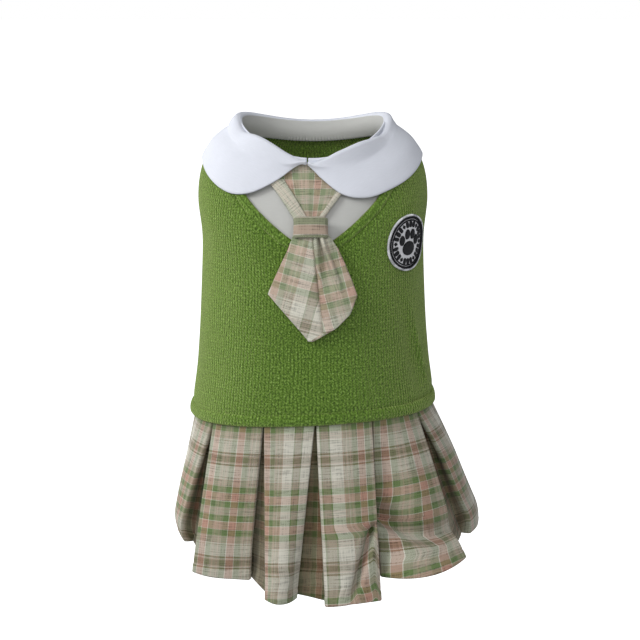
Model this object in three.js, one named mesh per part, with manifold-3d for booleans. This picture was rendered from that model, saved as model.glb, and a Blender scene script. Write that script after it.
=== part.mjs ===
// A dog dress in its worn form. A knitted vest with a V neck goes over a white shirt front with a
// round collar. A pleated skirt is sewn inside the knitted hem, and a short tie and a round badge
// decorate the side of the dress that lies on the dog's back.
// Millimetres, +Z up. The decorated side faces -Y, and the origin is the middle of the neck opening.

import * as THREE from 'three';
import { mergeVertices } from 'three/addons/utils/BufferGeometryUtils.js';
import Module from 'manifold-3d';

const wasm = await Module();
wasm.setup();

const DEGREE = Math.PI / 180;
const FULL_TURN = 2 * Math.PI;

// Sizes of the knitted vest, measured over its outer face
const CHEST_WIDTH = 150;
const CHEST_DEPTH = 124;
const BACK_LENGTH = 176;
const HEM_LEAN = 4;
const HEM_LEAN_POWER = 3;
const KNIT_THICKNESS = 2.4;
const HEM_BAND_HEIGHT = 6.5;
const BAND_PROUD = 0.5;
const V_BAND_WIDTH = 6.2;
const V_NECK_DEPTH = 67.5;

// Leg holes, on the side that lies under the dog
const LEG_HOLE_ANGLE = 122 * DEGREE;
const LEG_HOLE_WIDTH = 50;
const LEG_HOLE_HEIGHT = 58;
const LEG_HOLE_DROP = 79;
const LEG_BAND_WIDTH = 5;

// Shirt front, neck band and collar
const SHIRT_THICKNESS = 1.2;
const SHIRT_UNDERLAP = 12;
const COLLAR_WIDTH = 41;
const COLLAR_THICKNESS = 1.8;
const COLLAR_OPENING_ANGLE = 1.5 * DEGREE;
const COLLAR_SHIFT_ANGLE = -4 * DEGREE;
const COLLAR_SHIFT_REACH = 45 * DEGREE;

// Skirt
const SKIRT_LENGTH = 110;
const SKIRT_CLOTH = 1;
const SKIRT_HEM_WIDTH = 214;
const SKIRT_HEM_DEPTH = 206;
const SKIRT_SWAY_SIDE = 10;
const SKIRT_SWAY_BACK = 8;
const SKIRT_TUCK_IN = 5;
const SKIRT_BOW_POWER = 1.5;
const PLEAT_LAYER_STEP = 2.2;
const PLEAT_TUCK_AT_WAIST = 10;
const PLEAT_TUCK_AT_HEM = 3;
const PLEAT_DEPTH_AT_HEM = 12;

// Tie
const TIE_KNOT_WIDTH = 21.4;
const TIE_KNOT_HEIGHT = 11.4;
const TIE_KNOT_DEPTH = 9.6;
const TIE_TAIL_WIDTH = 55.4;
const TIE_TAIL_LENGTH = 63.6;
const TIE_TAIL_THICKNESS = 2.4;
const TIE_CLOTH = 1.1;
const TIE_SHIFT = -1.2;

// Badge
const BADGE_DIAMETER = 36;
const BADGE_BORDER_WIDTH = 2.6;
const BADGE_THICKNESS = 1.2;
const BADGE_BORDER_PROUD = 0.6;
const BADGE_RELIEF = 0.7;
const BADGE_ANGLE = 54.6 * DEGREE;
const BADGE_DROP = 62.9;

// Clear space between two pieces that lie on each other, between the knit and the shirt in it, and
// between the knit and the badge on it
const LAYER_GAP = 0.3;
const SHIRT_GAP = 0.6;
const BADGE_GAP = 0.5;

// Layers as offsets from the outer face of the knit
const UNDER_KNIT = -KNIT_THICKNESS - SHIRT_GAP;
const OVER_BANDS = BAND_PROUD + LAYER_GAP;

// Sections of the outer face, from the collar fold down to the knitted hem. side is a share of half
// CHEST_WIDTH, front and back are shares of half CHEST_DEPTH, the heights are shares of BACK_LENGTH.
const SECTIONS = [
  { at: 'fold', side: 0.673, front: 0.726, back: 0.726, frontZ: -0.048, sideZ: 0.082, backZ: 0.05 },
  { at: 'neck', side: 0.69, front: 0.71, back: 0.71, frontZ: -0.091, sideZ: 0.038, backZ: 0.006 },
  { at: 'collar', side: 0.862, front: 0.806, back: 0.82, frontZ: -0.17, sideZ: -0.014, backZ: -0.05 },
  { at: 'shoulder', side: 0.973, front: 0.903, back: 0.93, frontZ: -0.261, sideZ: -0.091, backZ: -0.142 },
  { at: 'chest', side: 1.012, front: 0.984, back: 1, frontZ: -0.352, sideZ: -0.21, backZ: -0.239 },
  { at: 'ribs', side: 0.98, front: 1.032, back: 1.032, frontZ: -0.483, sideZ: -0.375, backZ: -0.381 },
  { at: 'middle', side: 0.995, front: 1.048, back: 1.048, frontZ: -0.653, sideZ: -0.602, backZ: -0.58 },
  { at: 'low', side: 1.023, front: 1.073, back: 1.065, frontZ: -0.824, sideZ: -0.795, backZ: -0.744 },
  { at: 'flare', side: 1.053, front: 1.089, back: 1.081, frontZ: -0.92, sideZ: -0.898, backZ: -0.847 },
  { at: 'hem', side: 1.093, front: 1.113, back: 1.097, frontZ: -1, sideZ: -1, backZ: -0.943 },
];
const NECK_LEVEL = 1;
const HEM_LEVEL = SECTIONS.length - 1;
const BAND_TOP_LEVEL = 0.35;
const BAND_BOTTOM_LEVEL = 1.3;
const SHIRT_TOP_LEVEL = 1.35;
const COLLAR_SEAM_LEVELS = 0.2;

// Edge of the V neck. angle is in degrees from the middle of the front, rise is a share of
// V_NECK_DEPTH above the point of the V.
const V_EDGE = [
  { angle: 0, rise: 0 },
  { angle: 12, rise: 0.15 },
  { angle: 24, rise: 0.32 },
  { angle: 36, rise: 0.5 },
  { angle: 48, rise: 0.72 },
  { angle: 60, rise: 1 },
];
const V_TOP_ANGLE = 60 * DEGREE;

// Width of the collar from its fold to its free edge, as shares of COLLAR_WIDTH, by the angle in
// degrees from the middle of the front.
const COLLAR_EDGE = [
  { angle: 0, left: 0.04, right: 0.05 },
  { angle: 8, left: 0.13, right: 0.28 },
  { angle: 20, left: 0.48, right: 0.63 },
  { angle: 32, left: 0.77, right: 0.79 },
  { angle: 44, left: 0.92, right: 0.83 },
  { angle: 60, left: 0.94, right: 0.855 },
  { angle: 90, left: 0.84, right: 0.81 },
  { angle: 135, left: 0.85, right: 0.85 },
  { angle: 180, left: 0.88, right: 0.88 },
];

// How the collar's cloth rolls over its fold. out and rise are shares of COLLAR_THICKNESS, from the
// line of the fold.
const COLLAR_ROLL = [
  { out: -0.78, rise: 0.78 },
  { out: 0.6, rise: 0.4 },
];

// How the collar lies from its fold to its free edge. along is a share of the way, and lift is the
// height that it stands off the knit beyond where it rests, as a share of COLLAR_THICKNESS.
const COLLAR_FALL = [
  { along: 0.3, lift: 0.95 },
  { along: 0.55, lift: 0.65 },
  { along: 0.8, lift: 0.2 },
  { along: 1, lift: 0 },
];

// Pleats in order round the waist, from the left silhouette over the front to the back. waist is the
// left edge at the waist, left and right are the corners at the hem, all in degrees. outL and outR are
// shares of the hem's radius, dropL and dropR of SKIRT_LENGTH, and bow is how far the middle of the
// panel stands out at the hem, as a share of its width.
const PLEATS = [
  { waist: -88, left: -102, right: -80.8, outL: 1.02, outR: 0.975, dropL: 0.855, dropR: 0.855, bow: 0.06 },
  { waist: -56, left: -57.9, right: -36.6, outL: 0.987, outR: 0.823, dropL: 0.942, dropR: 0.964, bow: 0.1 },
  { waist: -23.8, left: -22.5, right: -12.1, outL: 0.977, outR: 0.914, dropL: 1.012, dropR: 1, bow: 0.5 },
  { waist: 1.3, left: -0.8, right: 18.6, outL: 1, outR: 0.983, dropL: 1.01, dropR: 0.995, bow: 0.08 },
  { waist: 29.3, left: 27.9, right: 54.1, outL: 0.769, outR: 0.993, dropL: 0.945, dropR: 0.918, bow: 0.3 },
  { waist: 59.9, left: 85.3, right: 105.9, outL: 0.957, outR: 1.064, dropL: 0.832, dropR: 0.836, bow: 0.06 },
  { waist: 92, left: 112, right: 130, outL: 1.03, outR: 0.98, dropL: 0.84, dropR: 0.85, bow: 0.08 },
  { waist: 122, left: 137, right: 155, outL: 0.99, outR: 1, dropL: 0.85, dropR: 0.86, bow: 0.1 },
  { waist: 152, left: 161, right: 179, outL: 1, outR: 0.98, dropL: 0.86, dropR: 0.86, bow: 0.08 },
  { waist: 182, left: 185, right: 203, outL: 0.98, outR: 1, dropL: 0.86, dropR: 0.86, bow: 0.1 },
  { waist: 212, left: 209, right: 227, outL: 1, outR: 0.98, dropL: 0.86, dropR: 0.85, bow: 0.08 },
  { waist: 242, left: 233, right: 251, outL: 0.99, outR: 1.02, dropL: 0.85, dropR: 0.85, bow: 0.08 },
];
const PLEAT_EDGE_ANGLE = 0.75 * DEGREE;

// Heights of the skirt's rows of points, from 0 at the knitted hem to 1 at the skirt's own hem. The
// first row is the one tucked in behind the knitted hem.
const SKIRT_ROWS = [-1, 0, 0.12, 0.34, 0.56, 0.78, 1];

// Strips of the gathered upper part of the tie, between the shirt front and the knot. top and bottom
// are shares of TIE_KNOT_HEIGHT above the knot's top, the rest are shares of TIE_KNOT_WIDTH across.
const TIE_PANEL = {
  top: 2.24, topLeft: -1.17, topRight: 1.05, bottom: -0.3, bottomLeft: -0.35, bottomRight: 0.2,
};
const TIE_STRAPS = {
  left: { top: 2.06, topLeft: -1.2, topRight: -0.84, bottom: -0.3, bottomLeft: -0.4, bottomRight: -0.05 },
  right: { top: 1.92, topLeft: 0.92, topRight: 1.06, bottom: -0.3, bottomLeft: 0.05, bottomRight: 0.22 },
};

// Sections of the knot. down is a share of its height, and size is a share of its width and depth.
// The power below 1 makes them squarer than an ellipse.
const KNOT_SECTIONS = [
  { down: 0, size: 0.84 },
  { down: 0.07, size: 1 },
  { down: 0.4, size: 0.99 },
  { down: 0.93, size: 1 },
  { down: 1, size: 0.86 },
];
const KNOT_SQUARENESS = 0.6;

// Outline of the hanging end of the tie. down is a share of its length, left and right are shares of
// its width, and the last three say how far its left edge, middle and right edge stand off.
const TAIL_ROWS = [
  { down: 0, left: -0.19, right: 0.2, offLeft: 0.04, offMiddle: 0.09, offRight: 0.04 },
  { down: 0.13, left: -0.25, right: 0.31, offLeft: 0.02, offMiddle: 0.07, offRight: 0.06 },
  { down: 0.27, left: -0.33, right: 0.39, offLeft: 0.01, offMiddle: 0.05, offRight: 0.09 },
  { down: 0.44, left: -0.42, right: 0.475, offLeft: 0.01, offMiddle: 0.04, offRight: 0.12 },
  { down: 0.56, left: -0.48, right: 0.525, offLeft: 0.02, offMiddle: 0.04, offRight: 0.14 },
  { down: 0.74, left: -0.29, right: 0.446, offLeft: 0.03, offMiddle: 0.04, offRight: 0.12 },
  { down: 0.875, left: -0.148, right: 0.29, offLeft: 0.03, offMiddle: 0.04, offRight: 0.08 },
  { down: 1, left: -0.02, right: 0.02, offLeft: 0.04, offMiddle: 0.04, offRight: 0.04 },
];

// The valley fold that runs down the tail, and the swell of its two halves, as shares of its width.
// Its place across runs from -1 at the left edge to 1 at the right edge.
const TAIL_FOLD = { across: 0.1, width: 0.14, depth: 0.03 };
const TAIL_SWELL = 0.05;

// Pads of the paw print on the badge, as shares of the badge's radius
const PAW_PADS = [
  { name: 'badge_paw_palm', across: 0, up: -0.2, wide: 0.27, tall: 0.22 },
  { name: 'badge_paw_toe_1', across: -0.34, up: 0.07, wide: 0.1, tall: 0.15 },
  { name: 'badge_paw_toe_2', across: -0.13, up: 0.29, wide: 0.11, tall: 0.16 },
  { name: 'badge_paw_toe_3', across: 0.13, up: 0.29, wide: 0.11, tall: 0.16 },
  { name: 'badge_paw_toe_4', across: 0.34, up: 0.07, wide: 0.1, tall: 0.15 },
];

const MATERIALS = {
  knit: new THREE.MeshStandardMaterial({ color: 0x5f7f3c, roughness: 0.95, metalness: 0 }),
  cotton: new THREE.MeshStandardMaterial({ color: 0xe4e6ee, roughness: 0.85, metalness: 0 }),
  plaid: new THREE.MeshStandardMaterial({ color: 0xc3c0ac, roughness: 0.85, metalness: 0 }),
  blackThread: new THREE.MeshStandardMaterial({ color: 0x1c1d22, roughness: 0.7, metalness: 0 }),
  whiteThread: new THREE.MeshStandardMaterial({ color: 0xdcdde0, roughness: 0.7, metalness: 0 }),
};

// A value between rows of a table, on a smooth curve through them
function smoothBetween(rows, column, position) {
  const last = rows.length - 1;
  const index = Math.min(Math.max(Math.floor(position), 0), last - 1);
  const f = position - index;
  const valueAt = (i) => {
    if (i < 0) return 2 * rows[0][column] - rows[1][column];
    if (i > last) return 2 * rows[last][column] - rows[last - 1][column];
    return rows[i][column];
  };
  const [a, b, c, d] = [index - 1, index, index + 1, index + 2].map(valueAt);
  const straight = 2 * b + (c - a) * f;
  const curved = (2 * a - 5 * b + 4 * c - d) * f * f + (3 * b - a - 3 * c + d) * f * f * f;
  return (straight + curved) / 2;
}

// The place of a key in a table's rising column, as a row number with a fraction
function positionOf(rows, column, key) {
  const last = rows.length - 1;
  if (key >= rows[last][column]) return last;
  let index = 0;
  while (key > rows[index + 1][column]) index += 1;
  return index + (key - rows[index][column]) / (rows[index + 1][column] - rows[index][column]);
}

function mix(from, to, share) {
  return from + (to - from) * share;
}

// A point of the outer face of the garment, before any offset
function facePoint(angle, level) {
  const share = (column) => smoothBetween(SECTIONS, column, level);
  const halfDepth = (CHEST_DEPTH / 4) * (share('front') + share('back'));
  const shift = (CHEST_DEPTH / 4) * (share('back') - share('front'));
  const wave = (share('frontZ') + share('backZ') - 2 * share('sideZ')) / 4;
  const tilt = (share('frontZ') - share('backZ')) / 2;
  const height = share('sideZ') + wave + tilt * Math.cos(angle) + wave * Math.cos(2 * angle);
  const lean = HEM_LEAN * Math.max(0, level / HEM_LEVEL) ** HEM_LEAN_POWER * Math.sin(angle);
  return new THREE.Vector3(
    (CHEST_WIDTH / 2) * share('side') * Math.sin(angle),
    shift - halfDepth * Math.cos(angle),
    BACK_LENGTH * height + lean,
  );
}

function faceNormal(angle, level) {
  const step = 0.002;
  const across = facePoint(angle + step, level).sub(facePoint(angle - step, level));
  const down = facePoint(angle, level + step).sub(facePoint(angle, level - step));
  return down.cross(across).normalize();
}

// A point of the garment that stands off the outer face of the knit by an offset
function garmentPoint(angle, level, offset = 0) {
  return facePoint(angle, level).addScaledVector(faceNormal(angle, level), offset);
}

function levelAtHeight(angle, height) {
  let high = 0;
  let low = HEM_LEVEL + 1;
  for (let step = 0; step < 30; step += 1) {
    const middle = (high + low) / 2;
    if (facePoint(angle, middle).z > height) high = middle;
    else low = middle;
  }
  return (high + low) / 2;
}

// The level that lies a length below the collar fold, measured along the face
function levelAtLength(angle, length) {
  const step = 0.02;
  let level = 0;
  let run = 0;
  let previous = facePoint(angle, 0);
  while (run < length && level < HEM_LEVEL) {
    level += step;
    const next = facePoint(angle, level);
    run += next.distanceTo(previous);
    previous = next;
  }
  return level;
}

// The angle that lies a distance across from the middle of the front, at a height and an offset
function angleAcross(distance, height, offset) {
  const halfWidth = (CHEST_WIDTH / 2) * smoothBetween(SECTIONS, 'side', levelAtHeight(0, height));
  return Math.asin(distance / (halfWidth + offset));
}

function vEdgeHeight(angle) {
  const degrees = Math.abs(angle) / DEGREE;
  return V_NECK_DEPTH * (smoothBetween(V_EDGE, 'rise', positionOf(V_EDGE, 'angle', degrees)) - 1);
}

function isInsideV(angle) {
  return Math.abs(angle) < V_TOP_ANGLE + 0.1 * DEGREE;
}

function signedVolume(points, faces) {
  const cross = new THREE.Vector3();
  const partOf = ([a, b, c]) => points[a].dot(cross.crossVectors(points[b], points[c])) / 6;
  return faces.reduce((sum, face) => sum + partOf(face), 0);
}

// A geometry of points and triangles, turned over if the triangles face inwards
function geometryFrom(points, faces) {
  const outward = signedVolume(points, faces) < 0 ? faces.map(([a, b, c]) => [a, c, b]) : faces;
  const geometry = new THREE.BufferGeometry();
  const positions = points.flatMap((point) => point.toArray());
  geometry.setAttribute('position', new THREE.Float32BufferAttribute(positions, 3));
  geometry.setIndex(outward.flat());
  geometry.computeVertexNormals();
  return geometry;
}

// A thin closed body between two grids of points. The wall closes its long edges, and its ends too
// unless the grid goes all the way round.
function sheetBody(columns, rows, closedRound, pointOn) {
  const points = [];
  const columnCount = closedRound ? columns : columns + 1;
  for (const side of [0, 1]) {
    for (let i = 0; i < columnCount; i += 1) {
      for (let j = 0; j <= rows; j += 1) points.push(pointOn(i, j, side));
    }
  }
  const index = (i, j, side) => (side * columnCount + (i % columnCount)) * (rows + 1) + j;
  const faces = [];
  const addQuad = (a, b, c, d) => faces.push([a, b, c], [a, c, d]);
  for (let i = 0; i < columns; i += 1) {
    for (let j = 0; j < rows; j += 1) {
      addQuad(index(i, j, 0), index(i, j + 1, 0), index(i + 1, j + 1, 0), index(i + 1, j, 0));
      addQuad(index(i, j, 1), index(i + 1, j, 1), index(i + 1, j + 1, 1), index(i, j + 1, 1));
    }
    addQuad(index(i, 0, 0), index(i + 1, 0, 0), index(i + 1, 0, 1), index(i, 0, 1));
    addQuad(index(i, rows, 0), index(i, rows, 1), index(i + 1, rows, 1), index(i + 1, rows, 0));
  }
  const endRows = closedRound ? 0 : rows;
  for (let j = 0; j < endRows; j += 1) {
    addQuad(index(0, j, 0), index(0, j, 1), index(0, j + 1, 1), index(0, j + 1, 0));
    addQuad(index(columns, j, 0), index(columns, j + 1, 0), index(columns, j + 1, 1), index(columns, j, 1));
  }
  return geometryFrom(points, faces);
}

// A body of rings joined one to the next, with a middle point at each end
function ringBody(rings, startPoint, endPoint) {
  const sides = rings[0].length;
  const points = [...rings.flat(), startPoint, endPoint];
  const start = points.length - 2;
  const end = points.length - 1;
  const faces = [];
  for (let k = 0; k < sides; k += 1) {
    const next = (k + 1) % sides;
    faces.push([start, next, k]);
    for (let ring = 0; ring + 1 < rings.length; ring += 1) {
      const here = ring * sides;
      const there = here + sides;
      faces.push([here + k, here + next, there + next], [here + k, there + next, there + k]);
    }
    const lastRing = (rings.length - 1) * sides;
    faces.push([end, lastRing + k, lastRing + next]);
  }
  return geometryFrom(points, faces);
}

function toSolid(geometry) {
  const bare = geometry.clone();
  bare.deleteAttribute('normal');
  const merged = mergeVertices(bare, 1e-4);
  return new wasm.Manifold(new wasm.Mesh({
    numProp: 3,
    vertProperties: Float32Array.from(merged.attributes.position.array),
    triVerts: Uint32Array.from(merged.index.array),
  }));
}

function toGeometry(solid) {
  const mesh = solid.getMesh();
  const geometry = new THREE.BufferGeometry();
  geometry.setAttribute('position', new THREE.BufferAttribute(mesh.vertProperties, 3));
  geometry.setIndex(new THREE.BufferAttribute(mesh.triVerts, 1));
  geometry.computeVertexNormals();
  return geometry;
}

// A point beside the edge of a leg hole. side is -1 or 1, and inset goes from the edge into the hole.
function legHolePoint(side, turn, inset, offset) {
  const middleAngle = side * LEG_HOLE_ANGLE;
  const middle = facePoint(middleAngle, levelAtHeight(middleAngle, -LEG_HOLE_DROP));
  const across = (LEG_HOLE_WIDTH / 2 - inset) * Math.cos(turn);
  const rise = (LEG_HOLE_HEIGHT / 2 - inset) * Math.sin(turn);
  const angle = middleAngle + across / Math.hypot(middle.x, middle.y);
  return garmentPoint(angle, levelAtHeight(angle, rise - LEG_HOLE_DROP), offset);
}

// A plug that fills a leg hole and reaches past both faces of the knit
function legHoleCutter(side) {
  const sides = 32;
  const outside = 2 * KNIT_THICKNESS;
  const inside = -3 * KNIT_THICKNESS;
  const ringAt = (offset) => Array.from({ length: sides }, (unused, k) => {
    return legHolePoint(side, (k / sides) * FULL_TURN, 0, offset);
  });
  const middleAngle = side * LEG_HOLE_ANGLE;
  const middleAt = (offset) => garmentPoint(middleAngle, levelAtHeight(middleAngle, -LEG_HOLE_DROP), offset);
  return ringBody([ringAt(outside), ringAt(inside)], middleAt(outside), middleAt(inside));
}

function makeBodice() {
  const columns = 48;
  const rows = 13;
  const closerAtTop = 1.3;
  const shell = sheetBody(columns, rows, true, (i, j, side) => {
    const angle = (i / columns) * FULL_TURN - Math.PI;
    const hemHeight = facePoint(angle, HEM_LEVEL).z;
    const bottom = levelAtHeight(angle, hemHeight + HEM_BAND_HEIGHT + LAYER_GAP);
    const underV = vEdgeHeight(angle) - V_BAND_WIDTH - LAYER_GAP;
    const top = isInsideV(angle) ? levelAtHeight(angle, underV) : NECK_LEVEL;
    const level = mix(Math.max(top, NECK_LEVEL), bottom, (j / rows) ** closerAtTop);
    return garmentPoint(angle, level, side ? -KNIT_THICKNESS : 0);
  });
  const cut = toSolid(shell).subtract(toSolid(legHoleCutter(-1))).subtract(toSolid(legHoleCutter(1)));
  return toGeometry(cut);
}

function makeHemBand() {
  const columns = 48;
  return sheetBody(columns, 1, true, (i, j, side) => {
    const angle = (i / columns) * FULL_TURN - Math.PI;
    const height = facePoint(angle, HEM_LEVEL).z + (j ? 0 : HEM_BAND_HEIGHT);
    return garmentPoint(angle, levelAtHeight(angle, height), side ? -KNIT_THICKNESS : BAND_PROUD);
  });
}

function makeVNeckBand() {
  const columns = 16;
  return sheetBody(columns, 1, false, (i, j, side) => {
    const angle = mix(-V_TOP_ANGLE, V_TOP_ANGLE, i / columns);
    const height = vEdgeHeight(angle) - (j ? V_BAND_WIDTH : 0);
    const level = Math.max(levelAtHeight(angle, height), NECK_LEVEL);
    return garmentPoint(angle, level, side ? -KNIT_THICKNESS : BAND_PROUD);
  });
}

function makeLegBand(side) {
  const steps = 28;
  return sheetBody(steps, 1, true, (i, j, layer) => {
    const turn = (i / steps) * FULL_TURN;
    const inset = j ? LAYER_GAP + LEG_BAND_WIDTH : 2 * LAYER_GAP;
    return legHolePoint(side, turn, inset, layer ? -KNIT_THICKNESS : BAND_PROUD);
  });
}

function makeShirtFront() {
  const columns = 16;
  const rows = 7;
  return sheetBody(columns, rows, false, (i, j, side) => {
    const angle = mix(-V_TOP_ANGLE, V_TOP_ANGLE, i / columns);
    const bottom = levelAtHeight(angle, vEdgeHeight(angle) - SHIRT_UNDERLAP);
    const level = mix(SHIRT_TOP_LEVEL, bottom, j / rows);
    return garmentPoint(angle, level, UNDER_KNIT - (side ? SHIRT_THICKNESS : 0));
  });
}

function makeNeckBand() {
  const columns = 48;
  const levels = [BAND_TOP_LEVEL, NECK_LEVEL, BAND_BOTTOM_LEVEL];
  return sheetBody(columns, levels.length - 1, true, (i, j, side) => {
    return garmentPoint((i / columns) * FULL_TURN, levels[j], UNDER_KNIT - (side ? SHIRT_THICKNESS : 0));
  });
}

function collarWidth(angle) {
  const degrees = Math.abs(angle) / DEGREE;
  const column = angle < 0 ? 'left' : 'right';
  return COLLAR_WIDTH * smoothBetween(COLLAR_EDGE, column, positionOf(COLLAR_EDGE, 'angle', degrees));
}

// The middle line of the collar's cloth at an angle, from inside the neck over the fold to the edge
function collarLine(fromOpening) {
  const nearOpening = Math.exp(-((fromOpening / COLLAR_SHIFT_REACH) ** 2));
  const angle = fromOpening + COLLAR_SHIFT_ANGLE * nearOpening;
  const width = collarWidth(fromOpening);
  const grown = Math.min(1, width / (COLLAR_WIDTH / 4));
  const edgeLevel = levelAtLength(angle, width);
  const middleOffset = OVER_BANDS + COLLAR_THICKNESS / 2;
  const inside = UNDER_KNIT - SHIRT_THICKNESS / 2;
  const fold = facePoint(angle, 0);
  const outward = new THREE.Vector3(Math.sin(angle), -Math.cos(angle), 0);
  const up = new THREE.Vector3(0, 0, 1);
  const beside = (out, rise) => fold.clone().addScaledVector(outward, out).addScaledVector(up, rise);
  const [inner, outer] = COLLAR_ROLL;
  return new THREE.CatmullRomCurve3([
    garmentPoint(angle, BAND_TOP_LEVEL - COLLAR_SEAM_LEVELS, inside),
    beside(inside, -LAYER_GAP),
    beside(inner.out * COLLAR_THICKNESS, inner.rise * COLLAR_THICKNESS),
    beside(outer.out * COLLAR_THICKNESS * grown, outer.rise * COLLAR_THICKNESS * grown),
    ...COLLAR_FALL.map(({ along, lift }) => {
      return garmentPoint(angle, edgeLevel * along, middleOffset + lift * COLLAR_THICKNESS * grown);
    }),
  ], false, 'centripetal');
}

function makeCollar() {
  const columns = 40;
  const rows = 8;
  const closerInFront = 1 / 16;
  const angleAt = (i) => {
    const share = i / columns - closerInFront * Math.sin((FULL_TURN * i) / columns);
    return mix(COLLAR_OPENING_ANGLE, FULL_TURN - COLLAR_OPENING_ANGLE, share);
  };
  const signed = (angle) => (angle > Math.PI ? angle - FULL_TURN : angle);
  const lines = Array.from({ length: columns + 1 }, (unused, i) => {
    return collarLine(signed(angleAt(i))).getPoints(rows);
  });
  const pointNear = (i, j) => {
    return lines[Math.min(Math.max(i, 0), columns)][Math.min(Math.max(j, 0), rows)];
  };
  return sheetBody(columns, rows, false, (i, j, side) => {
    const across = pointNear(i + 1, j).clone().sub(pointNear(i - 1, j));
    const along = pointNear(i, j + 1).clone().sub(pointNear(i, j - 1));
    const normal = along.cross(across).normalize();
    return pointNear(i, j).clone().addScaledVector(normal, (side ? -0.5 : 0.5) * COLLAR_THICKNESS);
  });
}

// Where a corner of a pleat lies. share goes from 0 at the knitted hem to 1 at the skirt's own hem.
function pleatCorner(pleat, edge, waistAngle, share) {
  const waist = garmentPoint(waistAngle, HEM_LEVEL, UNDER_KNIT - SKIRT_CLOTH / 2);
  const turn = pleat[edge.angle] * DEGREE;
  const out = pleat[edge.out];
  const hem = new THREE.Vector3(
    SKIRT_SWAY_SIDE + (SKIRT_HEM_WIDTH / 2) * out * Math.sin(turn),
    SKIRT_SWAY_BACK - (SKIRT_HEM_DEPTH / 2) * out * Math.cos(turn),
    -BACK_LENGTH - SKIRT_LENGTH * pleat[edge.drop],
  );
  return waist.lerp(hem, share);
}

const LEFT_EDGE = { angle: 'left', out: 'outL', drop: 'dropL' };
const RIGHT_EDGE = { angle: 'right', out: 'outR', drop: 'dropR' };

// Corners, along and outward directions of one pleat's panel at a height of the skirt
function pleatPanel(index, share) {
  const pleat = PLEATS[index];
  const nextWaist = index + 1 < PLEATS.length ? PLEATS[index + 1].waist : PLEATS[0].waist + 360;
  const startAngle = pleat.waist * DEGREE + PLEAT_EDGE_ANGLE;
  const endAngle = nextWaist * DEGREE - PLEAT_EDGE_ANGLE;
  let start = pleatCorner(pleat, LEFT_EDGE, startAngle, Math.max(share, 0));
  let end = pleatCorner(pleat, RIGHT_EDGE, endAngle, Math.max(share, 0));
  if (share < 0) {
    const tuckedAt = (angle) => {
      const level = levelAtHeight(angle, facePoint(angle, HEM_LEVEL).z + SKIRT_TUCK_IN);
      return garmentPoint(angle, level, UNDER_KNIT - SKIRT_CLOTH / 2);
    };
    start = tuckedAt(startAngle);
    end = tuckedAt(endAngle);
  }
  const along = end.clone().sub(start).setZ(0);
  const width = along.length();
  along.normalize();
  const waistBow = width * Math.tan((endAngle - startAngle) / 8);
  const bow = mix(waistBow, pleat.bow * width, Math.max(share, 0) ** SKIRT_BOW_POWER);
  return { start, end, along, bow, outward: new THREE.Vector3(along.y, -along.x, 0) };
}

// The middle line of the skirt's cloth at one height, all the way round
function pleatLine(share) {
  const open = Math.max(share, 0);
  const tuck = mix(PLEAT_TUCK_AT_WAIST, PLEAT_TUCK_AT_HEM, open);
  const depth = mix(2 * PLEAT_LAYER_STEP, PLEAT_DEPTH_AT_HEM, open);
  const panelSteps = 3;
  const panels = PLEATS.map((unused, index) => pleatPanel(index, share));
  return panels.flatMap((panel, index) => {
    const next = panels[(index + 1) % panels.length];
    const inside = (from, owner, tucked, deep) => {
      return from.clone().addScaledVector(owner.along, tucked).addScaledVector(owner.outward, -deep);
    };
    const points = Array.from({ length: panelSteps + 1 }, (empty, k) => {
      const across = k / panelSteps;
      const bulge = 4 * panel.bow * across * (1 - across);
      return panel.start.clone().lerp(panel.end, across).addScaledVector(panel.outward, bulge);
    });
    points.push(
      inside(panel.end, panel, 0, PLEAT_LAYER_STEP),
      inside(panel.end, panel, -tuck, depth - PLEAT_LAYER_STEP),
      inside(panel.end, panel, -tuck, depth),
      inside(next.start, next, tuck, depth),
      inside(next.start, next, tuck, depth - PLEAT_LAYER_STEP),
      inside(next.start, next, 0, PLEAT_LAYER_STEP),
    );
    return points;
  });
}

// Moves each point of a closed line sideways in plan, keeping the cloth's thickness at the corners
// unless a corner is too sharp for that
function sidestep(line, distance) {
  const sharpest = 0.6;
  return line.map((point, i) => {
    const before = line[(i + line.length - 1) % line.length];
    const after = line[(i + 1) % line.length];
    const into = point.clone().sub(before).setZ(0).normalize();
    const away = after.clone().sub(point).setZ(0).normalize();
    const normal = new THREE.Vector3(into.y + away.y, -into.x - away.x, 0).normalize();
    const reach = Math.max(normal.x * into.y - normal.y * into.x, sharpest);
    return point.clone().addScaledVector(normal, distance / reach);
  });
}

function makeSkirt() {
  const faces = [SKIRT_CLOTH / 2, -SKIRT_CLOTH / 2].map((distance) => {
    return SKIRT_ROWS.map((share) => sidestep(pleatLine(share), distance));
  });
  return sheetBody(faces[0][0].length, SKIRT_ROWS.length - 1, true, (i, j, side) => faces[side][j][i]);
}

const KNOT_TOP = -0.685 * V_NECK_DEPTH;
const KNOT_BOTTOM = KNOT_TOP - TIE_KNOT_HEIGHT;

const PANEL_OFFSET = UNDER_KNIT + LAYER_GAP;
const STRAP_OFFSET = PANEL_OFFSET + TIE_CLOTH + LAYER_GAP;
const RISE_TO_KNOT = OVER_BANDS - LAYER_GAP - TIE_CLOTH - STRAP_OFFSET;

// A strip of tie cloth that lies on the shirt front and runs down to the knot
function makeTieStrip(strip, columns, startOffset) {
  const rows = 4;
  return sheetBody(columns, rows, false, (i, j, side) => {
    const down = j / rows;
    const lowOffset = startOffset + RISE_TO_KNOT * down;
    const height = KNOT_TOP + TIE_KNOT_HEIGHT * mix(strip.top, strip.bottom, down);
    const left = mix(strip.topLeft, strip.bottomLeft, down);
    const right = mix(strip.topRight, strip.bottomRight, down);
    const across = TIE_SHIFT + TIE_KNOT_WIDTH * mix(left, right, i / columns);
    const angle = angleAcross(across, height, lowOffset);
    return garmentPoint(angle, levelAtHeight(angle, height), lowOffset + (side ? 0 : TIE_CLOTH));
  });
}

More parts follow.
